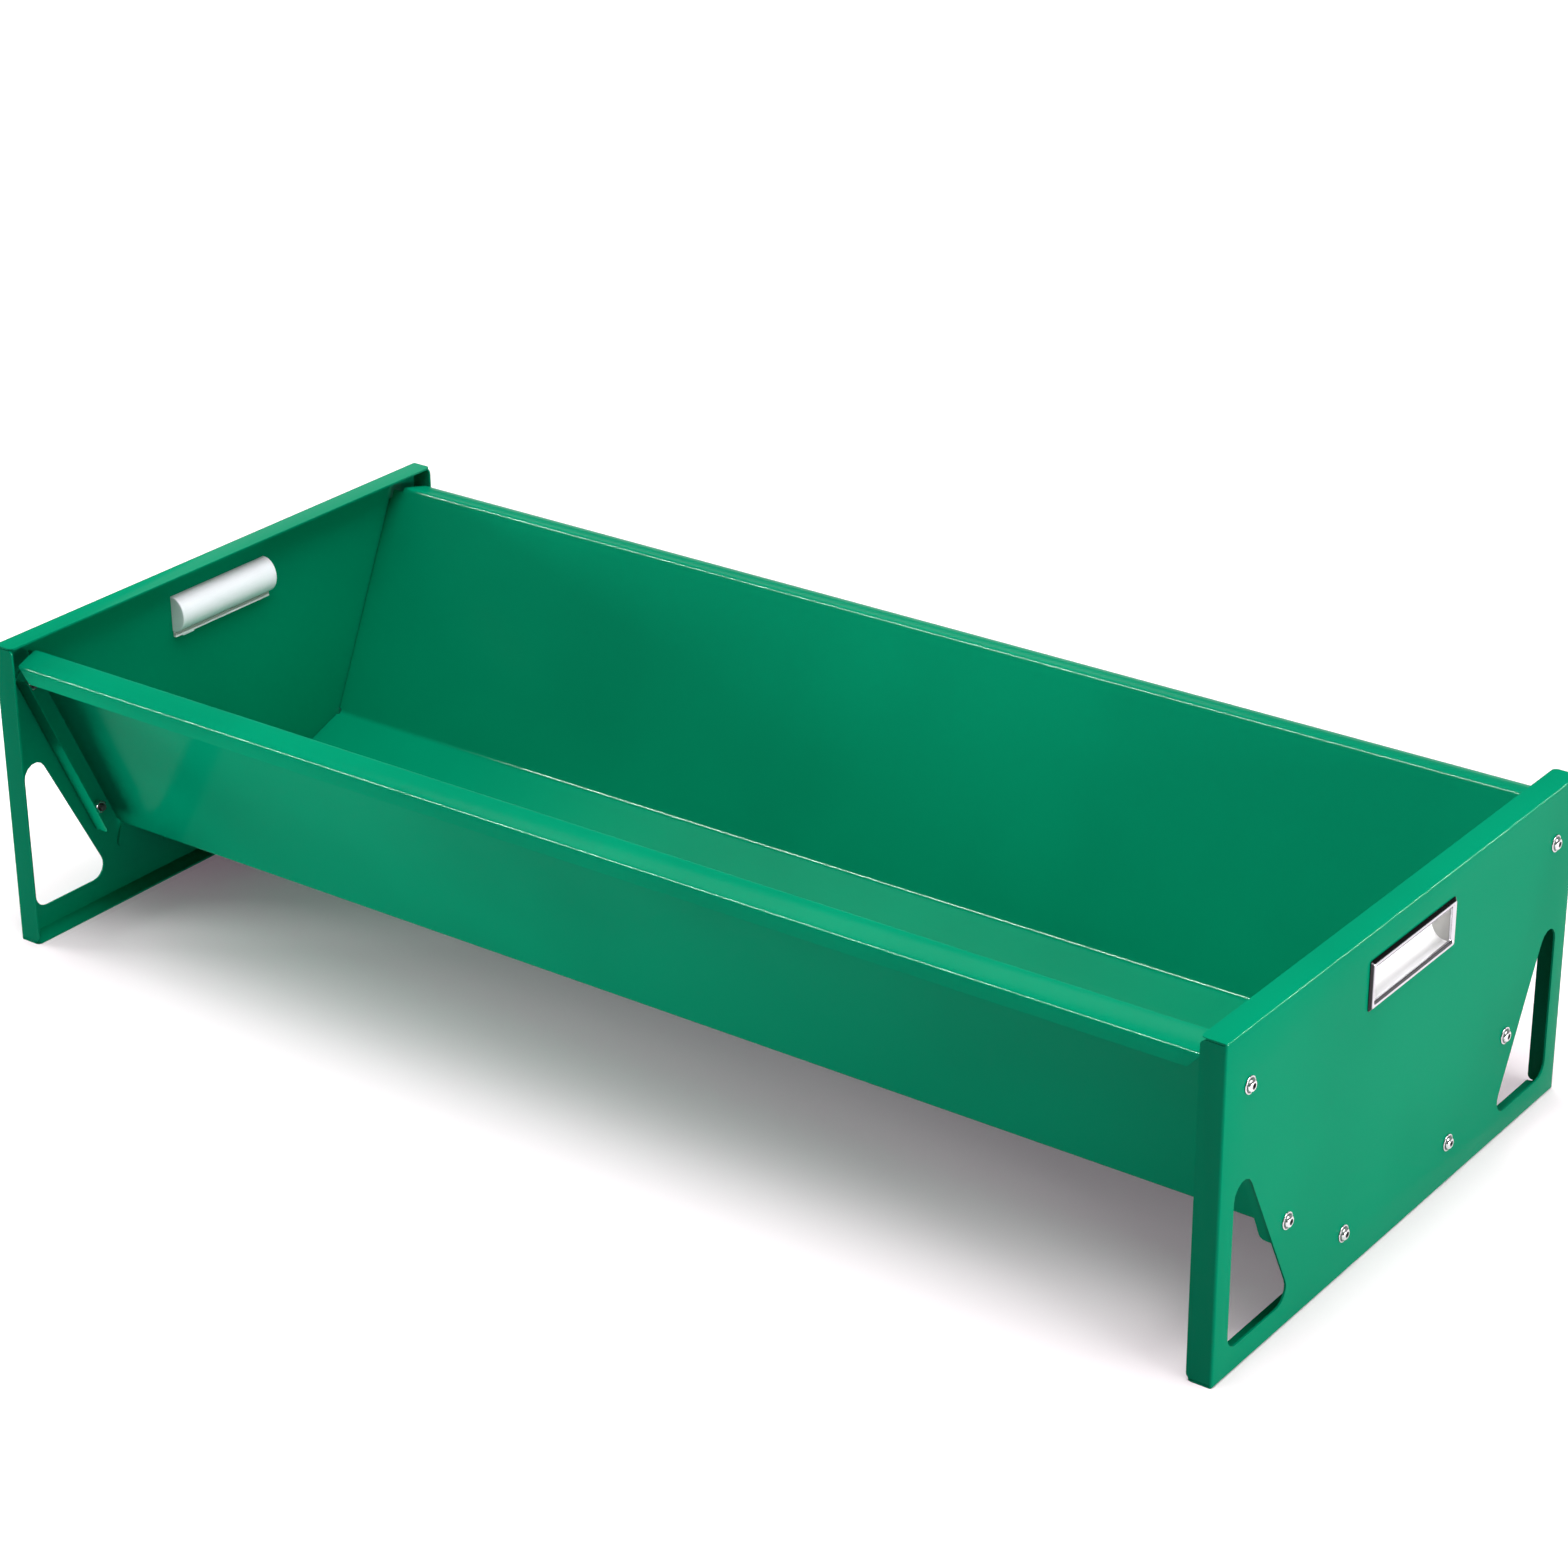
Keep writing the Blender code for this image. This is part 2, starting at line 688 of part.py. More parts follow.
def cup_outline(radius, side, mouth_x):
    """A half-round section with a straight neck out to an X, as (x, z) about the handle."""
    centre_x = LENGTH / 2 - CUP_NECK
    arc = arc_points((centre_x, 0), radius, math.pi / 2, math.pi * 3 / 2, CUP_STEPS)
    outline = [Vector((mouth_x, radius))] + arc + [Vector((mouth_x, -radius))]
    return [Vector((side * point.x, point.y)) for point in outline]


def make_cup(name, side, parts, cutters, metal):
    """The half-round cup that fingers reach into, open at the bezel."""
    across = frame_at((0, 0, HANDLE_Z), (1, 0, 0), (0, 0, 1))
    solid = plate_mesh(name, [cup_outline(CUP_RADIUS, side, LENGTH / 2)], CUP_LENGTH, across)
    cup = mesh_object(name, solid, parts, metal)
    hollow = cup_outline(CUP_RADIUS - CUP_WALL, side, LENGTH / 2 + CUP_NECK)
    space = plate_mesh(name + "_hollow", [hollow], CUP_LENGTH - 2 * CUP_WALL, across)
    cut(cup, cutter_object(name + "_hollow", space, cutters))
    shade_round(cup.data)


def make_strip(name, side, parts, cutters, metal):
    """The strip under the cup's lower edge, with the thin tab that holds it to the panel."""
    face_x = side * (LENGTH / 2 - SHEET - GAP)
    top = HANDLE_Z - CUP_RADIUS - GAP
    base = top - STRIP_HEIGHT
    tab_start = -CUP_LENGTH / 2 + TAB_INSET
    bar = box_mesh(
        name,
        (face_x, -CUP_LENGTH / 2, base),
        (face_x - side * STRIP_DEPTH, CUP_LENGTH / 2, top),
    )
    tab = box_mesh(
        name + "_tab",
        (face_x, tab_start, base - TAB_DROP),
        (face_x - side * TAB_THICKNESS, tab_start + TAB_LENGTH, top - STRIP_HEIGHT / 2),
    )
    strip = mesh_object(name, bar, parts, metal)
    joined = strip.modifiers.new("tab", "BOOLEAN")
    joined.operation = "UNION"
    joined.solver = "EXACT"
    joined.object = cutter_object(tab.name, tab, cutters)


def main():
    clear_scene()
    parts = new_collection(COLLECTION_NAME)
    cutters = new_collection(COLLECTION_NAME + "_cutters")
    coat = new_material("green_powder_coat", (0.004, 0.235, 0.125), 0.32, 0.0)
    chrome = new_material("bright_chrome", (0.80, 0.80, 0.80), 0.08, 1.0)
    satin = new_material("satin_steel", (0.62, 0.63, 0.64), 0.38, 1.0)
    zinc = new_material("bright_zinc", (0.72, 0.72, 0.73), 0.25, 1.0)
    make_pan(parts, cutters, coat)
    for side, end in ((-1, "left"), (1, "right")):
        make_panel(end + "_end_panel", side, parts, cutters, coat)
        make_bezel(end + "_handle_bezel", side, parts, chrome)
        make_cup(end + "_handle_cup", side, parts, cutters, satin)
        make_strip(end + "_handle_strip", side, parts, cutters, zinc)
    make_fasteners(parts, cutters, zinc)
    bpy.context.view_layer.update()


if __name__ == "__main__":
    main()
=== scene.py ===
"""A green steel feed trough: the finishes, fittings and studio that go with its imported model.

The file is laid out as a Blender add-on and run as a script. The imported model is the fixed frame:
the sheet-metal pieces are merged copies of its nodes, and the fittings are surfaces worked out
with numpy at the places that its nodes give. Lengths are metres.
"""

import json
import math
from typing import NamedTuple

import bmesh
import bpy
import numpy as np
from bpy.props import FloatProperty, FloatVectorProperty, PointerProperty
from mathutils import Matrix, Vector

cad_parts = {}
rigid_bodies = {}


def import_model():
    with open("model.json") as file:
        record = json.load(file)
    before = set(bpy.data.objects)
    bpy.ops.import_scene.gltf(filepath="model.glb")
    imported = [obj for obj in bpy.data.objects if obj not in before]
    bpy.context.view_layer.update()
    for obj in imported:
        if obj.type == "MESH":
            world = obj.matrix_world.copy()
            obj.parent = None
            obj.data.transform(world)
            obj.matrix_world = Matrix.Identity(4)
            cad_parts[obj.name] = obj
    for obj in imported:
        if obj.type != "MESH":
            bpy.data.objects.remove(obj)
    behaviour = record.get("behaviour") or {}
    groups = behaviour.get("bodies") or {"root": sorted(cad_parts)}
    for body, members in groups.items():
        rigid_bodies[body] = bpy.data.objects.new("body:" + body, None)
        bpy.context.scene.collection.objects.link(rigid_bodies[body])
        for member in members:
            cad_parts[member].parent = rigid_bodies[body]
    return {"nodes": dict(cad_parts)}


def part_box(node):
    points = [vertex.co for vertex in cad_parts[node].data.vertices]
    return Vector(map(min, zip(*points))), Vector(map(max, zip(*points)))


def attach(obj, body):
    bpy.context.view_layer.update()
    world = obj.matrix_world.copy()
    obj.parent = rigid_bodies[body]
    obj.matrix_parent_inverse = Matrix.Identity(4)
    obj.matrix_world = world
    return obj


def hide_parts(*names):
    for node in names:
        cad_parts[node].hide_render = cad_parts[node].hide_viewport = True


bl_info = {
    "name": "Steel feed trough",
    "version": (1, 0, 0),
    "blender": (4, 5, 0),
    "location": "3D View > Sidebar > Trough",
    "description": "Builds the finish, fittings and studio of a green steel feed trough",
    "category": "Object",
}

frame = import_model()

ENDS = (("left", -1), ("right", 1))
PLACES = [wall + "_" + level for wall in ("front", "back") for level in ("top", "mid", "low")]
WHITE = (1.0, 1.0, 1.0)
GLOSS_INDEX = 1.5
MERGE = 0.000001
FLAT_WITHIN = math.radians(0.4)

BEZEL_LOW, BEZEL_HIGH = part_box("right_handle_bezel")
CUP_LOW, CUP_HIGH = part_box("right_handle_cup")
STRIP_LOW, STRIP_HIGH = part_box("right_handle_strip")
BOLT_LOW, BOLT_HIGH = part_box("bolt_right_front_top")
NUT_LOW, NUT_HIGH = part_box("nut_right_front_top")

# A hexagon: its corner radius as a share of its width, and how crisp the corners are.
HEXAGON_CORNER = 1 / math.sqrt(3)
SOCKET_CRISPNESS = 40.0
NUT_CRISPNESS = 30.0

# A bolt: points in one turn, how far the thread stays from the tip and from the head, the length
# over which it fades out, and its rows to one pitch.
BOLT_STEPS = 48
BOLT_TIP = 0.0008
BOLT_NECK = 0.0030
THREAD_FADE = 0.0006
THREAD_ROWS = 8

# A nut: points in one turn, the share of its width that its round face takes, the least height
# of a flank's edge, the cone at the mouth of its bore and the gap round the thread.
NUT_STEPS = 60
NUT_FACE = 0.475
NUT_EDGE = 0.00005
NUT_LEAD = 0.0004
THREAD_GAP = 0.00005

# The handle frame's section from its outer to its inner edge, as shares of width and thickness.
BEZEL_SECTION = (
    (0.0, 0.0), (0.0, 0.20), (0.20, 0.605), (0.34, 0.97), (0.50, 1.0), (0.66, 0.96),
    (0.75, 0.50), (0.81, 0.30), (0.88, 0.32), (0.94, 0.50), (1.0, 0.44), (1.0, 0.0),
)
# Its painted shade, as shares of the same: the foot of the outer slope and the groove by the inner
# edge.
BEZEL_FOOT = 0.34
BEZEL_FOOT_FADE = 0.08
BEZEL_GROOVE = (0.70, 0.93)
BEZEL_GROOVE_TOP = 0.37

CUP_RADIUS = (CUP_HIGH.z - CUP_LOW.z) / 2
# Rows of the cup's body: the distance from the end's fillet, and the share of the bead's height
# by which the body is drawn in.
CUP_BODY = (
    (0.0006, 0.0), (0.0011, 0.25), (0.0014, 0.75), (0.0020, 1.0), (0.012, 1.0), (0.03, 1.0),
)
# Rows at each end of the cup's inside that are painted grey as shade.
CUP_PAINTED_SHADE_ROWS = 6

# A strip: its small bevels, the depth of its groove and the cut along its front edges.
STRIP_EASE = 0.0003
STRIP_GROOVE = 0.0005
STRIP_NICK = 0.0002

FLOOR_RINGS = 8
FLOOR_SPOKES = 72


class Lamp(NamedTuple):
    """A rectangular light: where it is, what it faces and what it falls on.

    Its power is the name of a studio setting. It falls on every object whose name holds one of
    the words in falls_on, or on everything where there are none. No ray of a kind in unseen_by
    meets it: the two strips only show as a bright line on the folds, and light nothing.
    """

    name: str
    place: tuple
    aim: tuple
    size: tuple
    power: str
    falls_on: tuple = ()
    unseen_by: tuple = ()
    colour: tuple = WHITE


LAMPS = (
    Lamp("ceiling_light", (0.45, -0.25, 2.6), (0.0, 0.0, 0.0), (2.0, 1.6), "ceiling"),
    Lamp("rear_light", (-0.9, 1.0, 2.0), (0.2, -0.2, 0.2), (1.5, 0.6), "rear_light"),
    Lamp("back_light", (-2.0, 2.6, 1.25), (0.0, 0.2, 0.1), (2.0, 0.9), "back_light"),
    Lamp("side_light", (2.6, -0.25, 0.35), (0.5, 0.0, 0.1), (1.4, 0.6), "side_light"),
    Lamp("left_light", (-3.0, 0.2, 1.1), (-0.3, 0.0, 0.1), (1.6, 1.2), "left_light"),
    Lamp(
        "front_light", (-3.0, -1.0, 0.5), (-0.5, -0.2, 0.1), (1.4, 0.8), "front_light",
        falls_on=("_left_", "coated_pan", "studio_floor"),
    ),
    Lamp(
        "under_light", (-1.0, -0.75, -0.35), (-0.4, -0.2, 0.12), (0.9, 0.4), "under_light",
        falls_on=("coated_pan",), unseen_by=("glossy",),
    ),
    Lamp(
        "rim_strip", (-1.44, -1.32, 1.95), (-1.44, -0.25, 0.25), (2.3, 0.14), "rim_glint",
        falls_on=("coated_pan",), unseen_by=("diffuse",), colour=(0.78, 1.0, 0.90),
    ),
    Lamp(
        "panel_strip", (1.90, 2.42, 1.46), (0.56, 2.42, 0.26), (1.6, 0.14), "panel_glint",
        falls_on=("coated_left", "coated_right"), unseen_by=("diffuse",),
        colour=(0.78, 1.0, 0.90),
    ),
    Lamp(
        "cup_light", (0.3, -0.5, 1.0), (-0.55, 0.0, 0.22), (0.8, 0.6), "cup_light",
        falls_on=("satin_", "plated_"), colour=(1.0, 0.80, 0.87),
    ),
)


class Wire:
    """An output socket of a material. Arithmetic on wires adds Math nodes to the material."""

    def __init__(self, tree, socket=None):
        self.tree = tree
        self.socket = socket

    def node(self, kind, settings=None, values=None, output=0):
        """Add any node: its settings are made first, then its sockets get values or links."""
        made = self.tree.nodes.new(kind)
        for name, setting in (settings or {}).items():
            setattr(made, name, setting)
        for name, value in (values or {}).items():
            if isinstance(value, Wire):
                self.tree.links.new(value.socket, made.inputs[name])
            else:
                made.inputs[name].default_value = value
        return Wire(self.tree, made.outputs[output])

    def math(self, operation, first, second=0.0):
        return self.node("ShaderNodeMath", {"operation": operation}, {0: first, 1: second})

    def blend(self, share, first, second):
        """Mix two colours, all of the first where the share is 0.

        The Mix node's sockets for colours are its inputs 6 and 7 and its output 2.
        """
        return self.node(
            "ShaderNodeMix", {"data_type": "RGBA"}, {0: share, 6: first, 7: second}, output=2,
        )

    def within(self, low, high):
        """A smooth step from 0 at low to 1 at high."""
        return self.node(
            "ShaderNodeMapRange", {"interpolation_type": "SMOOTHSTEP"},
            {"Value": self, "From Min": low, "From Max": high},
        )

    def __add__(self, other):
        return self.math("ADD", self, other)

    def __sub__(self, other):
        return self.math("SUBTRACT", self, other)

    def __rsub__(self, other):
        return self.math("SUBTRACT", other, self)

    def __mul__(self, other):
        return self.math("MULTIPLY", self, other)

    __radd__ = __add__
    __rmul__ = __mul__


def new_finish(name, **constants):
    """An empty finish with one Principled shader. Constants go on the shader's own sockets."""
    material = bpy.data.materials.new(name)
    material.use_nodes = True
    tree = material.node_tree
    shader = tree.nodes["Principled BSDF"]
    for socket, value in constants.items():
        shader.inputs[socket.replace("_", " ")].default_value = value
    return material, Wire(tree), shader.inputs


def feed(wires, sockets, **links):
    """Link wires to the shader's sockets, each named with underscores for spaces."""
    for socket, wire in links.items():
        wires.tree.links.new(wire.socket, sockets[socket.replace("_", " ")])


def toned(colour, share=1.0):
    """A colour with that share of its brightness, in the four parts that a shader takes."""
    return (*(min(1.0, share * part) for part in colour), 1.0)


def object_place(wires, stretch=(1.0, 1.0, 1.0)):
    """The point on the piece in metres, stretched along each axis."""
    place = wires.node("ShaderNodeTexCoord", output="Object")
    return wires.node("ShaderNodeMapping", None, {"Vector": place, "Scale": stretch})


def grain(wires, place, scale, detail=2.0, roughness=0.5):
    """Even noise between 0 and 1 with that many features to the metre."""
    return wires.node(
        "ShaderNodeTexNoise", None,
        {"Vector": place, "Scale": scale, "Detail": detail, "Roughness": roughness}, "Fac",
    )


def marked(wires, mark):
    """The amount of a mark, 0 to 1, that the piece's own points carry."""
    return wires.node("ShaderNodeAttribute", {"attribute_name": mark}, None, "Fac")


def relief(wires, strength, depth, height):
    """The surface's normal, tilted as if the height pattern were that deep in metres."""
    return wires.node(
        "ShaderNodeBump", None, {"Strength": strength, "Distance": depth, "Height": height},
        "Normal",
    )


def green_finish(look):
    """Semi-gloss powder coat: orange peel in two sizes, faint clouding and fine dulled specks."""
    material, wires, sockets = new_finish(
        "green_powder_coat", Specular_IOR_Level=look.coat_shine, IOR=GLOSS_INDEX,
        Specular_Tint=toned(look.coat_tint), Coat_Weight=look.coat_gloss, Coat_IOR=GLOSS_INDEX,
        Coat_Roughness=look.gloss_roughness,
    )
    place = object_place(wires)
    cloud = grain(wires, place, scale=3.5, detail=3.0)
    speck = grain(wires, place, scale=900.0, detail=1.0)
    peel = grain(wires, place, scale=1.0 / look.peel_size, roughness=0.45)
    fine_peel = grain(wires, place, scale=2.6 / look.peel_size, detail=1.0)
    deep, light = toned(look.green, 0.93), toned(look.green, 1.05)
    shade = wires.blend(cloud.within(0.35, 0.65), deep, light)
    coated = wires.blend(speck.within(0.62, 0.75) * 0.25, shade, toned(look.green))
    polish = look.coat_roughness + (cloud - 0.5) * 0.06 + (speck - 0.5) * 0.05
    bump = relief(wires, 1.0, look.peel_depth, peel * 0.75 + fine_peel * 0.25)
    feed(wires, sockets, Base_Color=coated, Roughness=polish, Normal=bump)
    return material


def chrome_finish(look):
    """Bright chrome plate with the haze that hands leave, painted black as shade at the frame's
    outer foot and in its groove.
    """
    material, wires, sockets = new_finish("chrome_plate", Metallic=1.0, IOR=GLOSS_INDEX)
    haze = grain(wires, object_place(wires), scale=55.0, detail=4.0, roughness=0.6)
    rub = grain(wires, object_place(wires, (1.0, 0.15, 1.0)), scale=1600.0, detail=1.0)
    hazy = haze.within(0.45, 0.75) * 0.35
    shade = wires.blend(hazy, toned(look.chrome), toned(look.chrome, 0.90))
    # Painted shade: near black and rougher where the frame's foot and groove are marked.
    recess = marked(wires, "recess")
    shade = wires.blend(recess * 0.97, shade, toned(WHITE, 0.01))
    polish = look.chrome_roughness + haze.within(0.5, 0.8) * 0.06 + rub * 0.02 + recess * 0.2
    bump = relief(wires, 0.6, 0.000004, rub)
    feed(wires, sockets, Base_Color=shade, Roughness=polish, Normal=bump)
    return material


def satin_finish(look):
    """Satin metal with fine lines along its length and soft, uneven sheen.

    What is marked inside is a brighter copy of the metal, painted light, and the cups' end walls
    and the strips' tops are painted grey as shade.
    """
    material, wires, sockets = new_finish("satin_metal", Metallic=look.satin_metal, IOR=GLOSS_INDEX)
    cloud = grain(wires, object_place(wires), scale=40.0, detail=3.0)
    line = grain(wires, object_place(wires, (1.0, 0.03, 1.0)), scale=2600.0)
    lined = line.within(0.35, 0.7) * 0.5
    shade = wires.blend(lined, toned(look.satin), toned(look.satin, 0.93))
    # Painted light: a brighter copy of the metal where marked inside; painted shade: grey on the
    # cups' end walls and the strips' tops.
    shade = wires.blend(marked(wires, "inside"), shade, toned(look.satin_painted_light))
    shade = wires.blend(marked(wires, "dull"), shade, toned(look.satin_painted_shadow))
    polish = look.satin_roughness + (cloud - 0.5) * 0.10 + (line - 0.5) * 0.08
    bump = relief(wires, 0.5, 0.00001, line)
    feed(wires, sockets, Base_Color=shade, Roughness=polish, Normal=bump)
    return material


def zinc_finish(look):
    """Bright zinc plate: small mottled grains, with shade painted darker and rougher where the
    piece marks its hollows.
    """
    material, wires, sockets = new_finish("zinc_plate", Metallic=look.zinc_metal, IOR=GLOSS_INDEX)
    place = object_place(wires)
    mottle = wires.node(
        "ShaderNodeTexVoronoi", {"feature": "SMOOTH_F1"},
        {"Vector": place, "Scale": 700.0, "Smoothness": 0.6}, "Distance",
    )
    fine = grain(wires, place, scale=2200.0)
    spotted = mottle.within(0.15, 0.7) * 0.4
    shade = wires.blend(spotted, toned(look.zinc), toned(look.zinc, 0.84))
    # Painted shade: darker and rougher in the marked hollows.
    recess = marked(wires, "recess")
    shade = wires.blend(recess * 0.9, shade, toned(WHITE, 0.05))
    polish = look.zinc_roughness + (mottle - 0.4) * 0.12 + (fine - 0.5) * 0.08 + recess * 0.3
    bump = relief(wires, 0.5, 0.00001, fine)
    feed(wires, sockets, Base_Color=shade, Roughness=polish, Normal=bump)
    return material


def floor_finish(studio):
    """Matt seamless paper, pale and very slightly uneven. It throws less light back than it shows.

    Its own glow is faint near the trough and turns to plain white far from it, so that the floor
    meets the backdrop without a dark band.
    """
    material, wires, sockets = new_finish(
        "studio_floor", Specular_IOR_Level=0.0, Roughness=0.95, Emission_Strength=1.0,
    )
    place = object_place(wires)
    distance = wires.node("ShaderNodeVectorMath", {"operation": "LENGTH"}, {0: place}, "Value")
    far = distance.within(studio.glow_turns_at, studio.glow_white_at)
    near_glow = toned(studio.glow_colour, studio.floor_glow)
    glow = wires.blend(far, near_glow, toned(WHITE, studio.far_glow))
    cloud = grain(wires, place, scale=1.3)
    shade = wires.blend(cloud.within(0.3, 0.7), toned(studio.floor), toned(studio.floor, 0.995))
    thrown = wires.node("ShaderNodeLightPath", output="Is Diffuse Ray")
    shown = wires.blend(thrown * (1.0 - studio.floor_throw), shade, toned(WHITE, 0.0))
    feed(wires, sockets, Base_Color=shown, Emission_Color=glow)
    return material


def finish_of(name, maker, settings):
    """The finish of that name, made the first time that a piece asks for it."""
    return bpy.data.materials.get(name) or maker(settings)


def grid_faces(rows, columns, wrap_rows):
    """The corners of every four-sided face of a grid whose last column joins its first."""
    row = np.arange(rows if wrap_rows else rows - 1)[:, None]
    column = np.arange(columns)[None, :]
    next_row = (row + 1) % rows
    next_column = (column + 1) % columns
    corners = (
        row * columns + column, row * columns + next_column,
        next_row * columns + next_column, next_row * columns + column,
    )
    return np.stack(corners, axis=-1).reshape(-1, 4)


def merged_shape(mesh):
    """An editable copy of a mesh in which points that share a place are one point."""
    shape = bmesh.new()
    shape.from_mesh(mesh)
    bmesh.ops.remove_doubles(shape, verts=shape.verts, dist=MERGE)
    return shape


def stand(name, mesh, shape, sharp):
    """Put a closed shape in the scene at the origin, smooth up to the sharp angle."""
    if any(not edge.is_manifold for edge in shape.edges):
        shape.free()
        raise RuntimeError(name + " isn't a closed surface")
    if shape.calc_volume(signed=True) < 0:
        bmesh.ops.reverse_faces(shape, faces=shape.faces)
    shape.to_mesh(mesh)
    shape.free()
    mesh.shade_smooth()
    mesh.set_sharp_from_angle(angle=sharp)
    piece = bpy.data.objects.new(name, mesh)
    bpy.context.scene.collection.objects.link(piece)
    return piece


def piece_from_grid(name, points, marks, sharp, wrap_rows=False):
    """A closed piece from a grid of points, its seams and poles merged and its faces turned out.

    The last column always joins the first one. The marks are amounts for its finish, by name.
    Faces that meet at less than the sharp angle shade as one.
    """
    rows, columns = points.shape[:2]
    mesh = bpy.data.meshes.new(name)
    faces = grid_faces(rows, columns, wrap_rows)
    mesh.from_pydata(points.reshape(-1, 3).tolist(), [], faces.tolist())
    for mark, amounts in marks.items():
        layer = mesh.attributes.new(mark, "FLOAT", "POINT")
        layer.data.foreach_set("value", np.ascontiguousarray(amounts, dtype=np.float32).ravel())
    shape = merged_shape(mesh)
    bmesh.ops.dissolve_degenerate(shape, edges=shape.edges, dist=MERGE)
    bmesh.ops.recalc_face_normals(shape, faces=shape.faces)
    return stand(name, mesh, shape, sharp)


def merged_sheet(name, node, settings):
    """A copy of a CAD node's mesh, its loose triangles joined and its flat areas made whole.

    The cut edges are rounded by a narrow bevel, as the coat does.
    """
    source = frame["nodes"][node].data
    places = np.zeros(len(source.vertices) * 3)
    source.vertices.foreach_get("co", places)
    corners = np.zeros(len(source.loops), dtype=np.int64)
    source.loops.foreach_get("vertex_index", corners)
    mesh = bpy.data.meshes.new(name)
    mesh.from_pydata(places.reshape(-1, 3).tolist(), [], corners.reshape(-1, 3).tolist())
    shape = merged_shape(mesh)
    bmesh.ops.dissolve_limit(shape, angle_limit=FLAT_WITHIN, verts=shape.verts, edges=shape.edges)
    piece = stand(name, mesh, shape, settings.sharp)
    bevel = piece.modifiers.new("coat_edges", "BEVEL")
    bevel.width = settings.edge
    bevel.segments = 2
    bevel.limit_method = "ANGLE"
    bevel.angle_limit = settings.sharp
    bevel.harden_normals = True
    bevel.miter_outer = "MITER_ARC"
    return piece


def fit(piece, node, material):
    """Give a piece its finish and let it stand for a CAD node."""
    piece.data.materials.clear()
    piece.data.materials.append(material)
    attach(piece, "root")
    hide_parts(node)


def full_turn(steps):
    """Evenly spaced angles from 0 to one step short of a full turn."""
    return np.linspace(0.0, 2 * math.pi, steps, endpoint=False)


def rounded(points, radius, steps):
    """A closed outline with each corner cut back by the radius and turned by a quadratic arc.

    The arc from A to B about the corner C is (1-t)^2 A + 2t(1-t) C + t^2 B, with t from 0 to 1.
    No cut takes more than 0.45 of the shorter edge at its corner.
    """
    corner = np.asarray(points, dtype=float)
    before = np.roll(corner, 1, axis=0) - corner
    after = np.roll(corner, -1, axis=0) - corner
    length_before = np.linalg.norm(before, axis=1, keepdims=True)
    length_after = np.linalg.norm(after, axis=1, keepdims=True)
    cut = np.minimum(radius, 0.45 * np.minimum(length_before, length_after))
    first = (corner + before / length_before * cut)[:, None, :]
    last = (corner + after / length_after * cut)[:, None, :]
    t = np.linspace(0.0, 1.0, steps)[None, :, None]
    arcs = (1 - t) ** 2 * first + 2 * t * (1 - t) * corner[:, None, :] + t ** 2 * last
    return arcs.reshape(-1, corner.shape[1])


def six_sided(angle, across, crispness):
    """The radius of a hexagon with softened corners, at each angle.

    With n = crispness it is across / 2 / S^(1/n), where S is the sum over k = 0 to 5 of
    max(0, cos(angle - k 60 degrees))^n.
    """
    flats = np.arange(6) * math.pi / 3
    reach = np.clip(np.cos(angle[..., None] - flats), 0.0, None)
    return across / 2 / (reach ** crispness).sum(axis=-1) ** (1.0 / crispness)


def about_x(seat, reach, radius, angle):
    """Points at that reach along X from the seat and at that radius and angle round it."""
    return np.stack((
        seat[0] + reach, seat[1] + radius * np.cos(angle), seat[2] + radius * np.sin(angle),
    ), axis=-1)


def shank_rows(low, threads, shank):
    """The tip, the thread and the neck of a bolt, as rows of radius, height and painted shade."""
    tip = [(0.0, low, 1), (shank - 0.0007, low, 1), (shank - 0.0002, low + 0.0005, 1)]
    thread = np.stack((np.full(len(threads), shank), threads, np.ones(len(threads))), axis=1)
    neck = [(shank, -0.0028, 1), (shank, -0.0002, 1), (shank + 0.0002, 0.0, 1)]
    return np.concatenate((tip, thread, neck))


def head_rows(head, top):
    """The collar and the dome of a button head, as rows of radius, height and painted shade.

    The dome is a quarter ellipse. With a from 0 to 90 degrees, its radius is
    flat + (foot - flat) cos a and its height is collar + (top - collar) sin a. Shade is painted
    under the collar and in the groove round the dome's foot.
    """
    foot, flat, collar = 0.72 * head, 0.41 * head, 0.27 * top
    rim = [
        (head - 0.0003, 0.0, 1), (head - 0.00008, 0.00006, 1), (head, 0.0002, 0),
        (head, 0.00045, 0), (head - 0.00012, 0.00068, 0), (head - 0.0004, 0.00082, 0),
        (foot + 0.0005, 0.00085, 1), (foot + 0.00015, 0.00080, 1), (foot, collar - 0.00005, 1),
    ]
    angle = np.linspace(0.0, math.pi / 2, 12)
    dome = np.stack((
        flat + (foot - flat) * np.cos(angle), collar + (top - collar) * np.sin(angle), angle == 0,
    ), axis=1)
    return np.concatenate((rim, dome, [(flat - 0.0002, top, 0)]))


def socket_rows(mouth, top, floor):
    """A bolt's socket from its edge to the middle of its floor, as rows like the head's, all but
    its top edge painted in shade.
    """
    return np.array((
        (mouth + 0.00018, top, 0), (mouth + 0.00004, top - 0.00006, 1), (mouth, top - 0.0002, 1),
        (mouth, floor + 0.0003, 1), (mouth - 0.0002, floor, 1), (0.45 * mouth, floor - 0.0002, 1),
        (0.0, floor - 0.0003, 1),
    ))


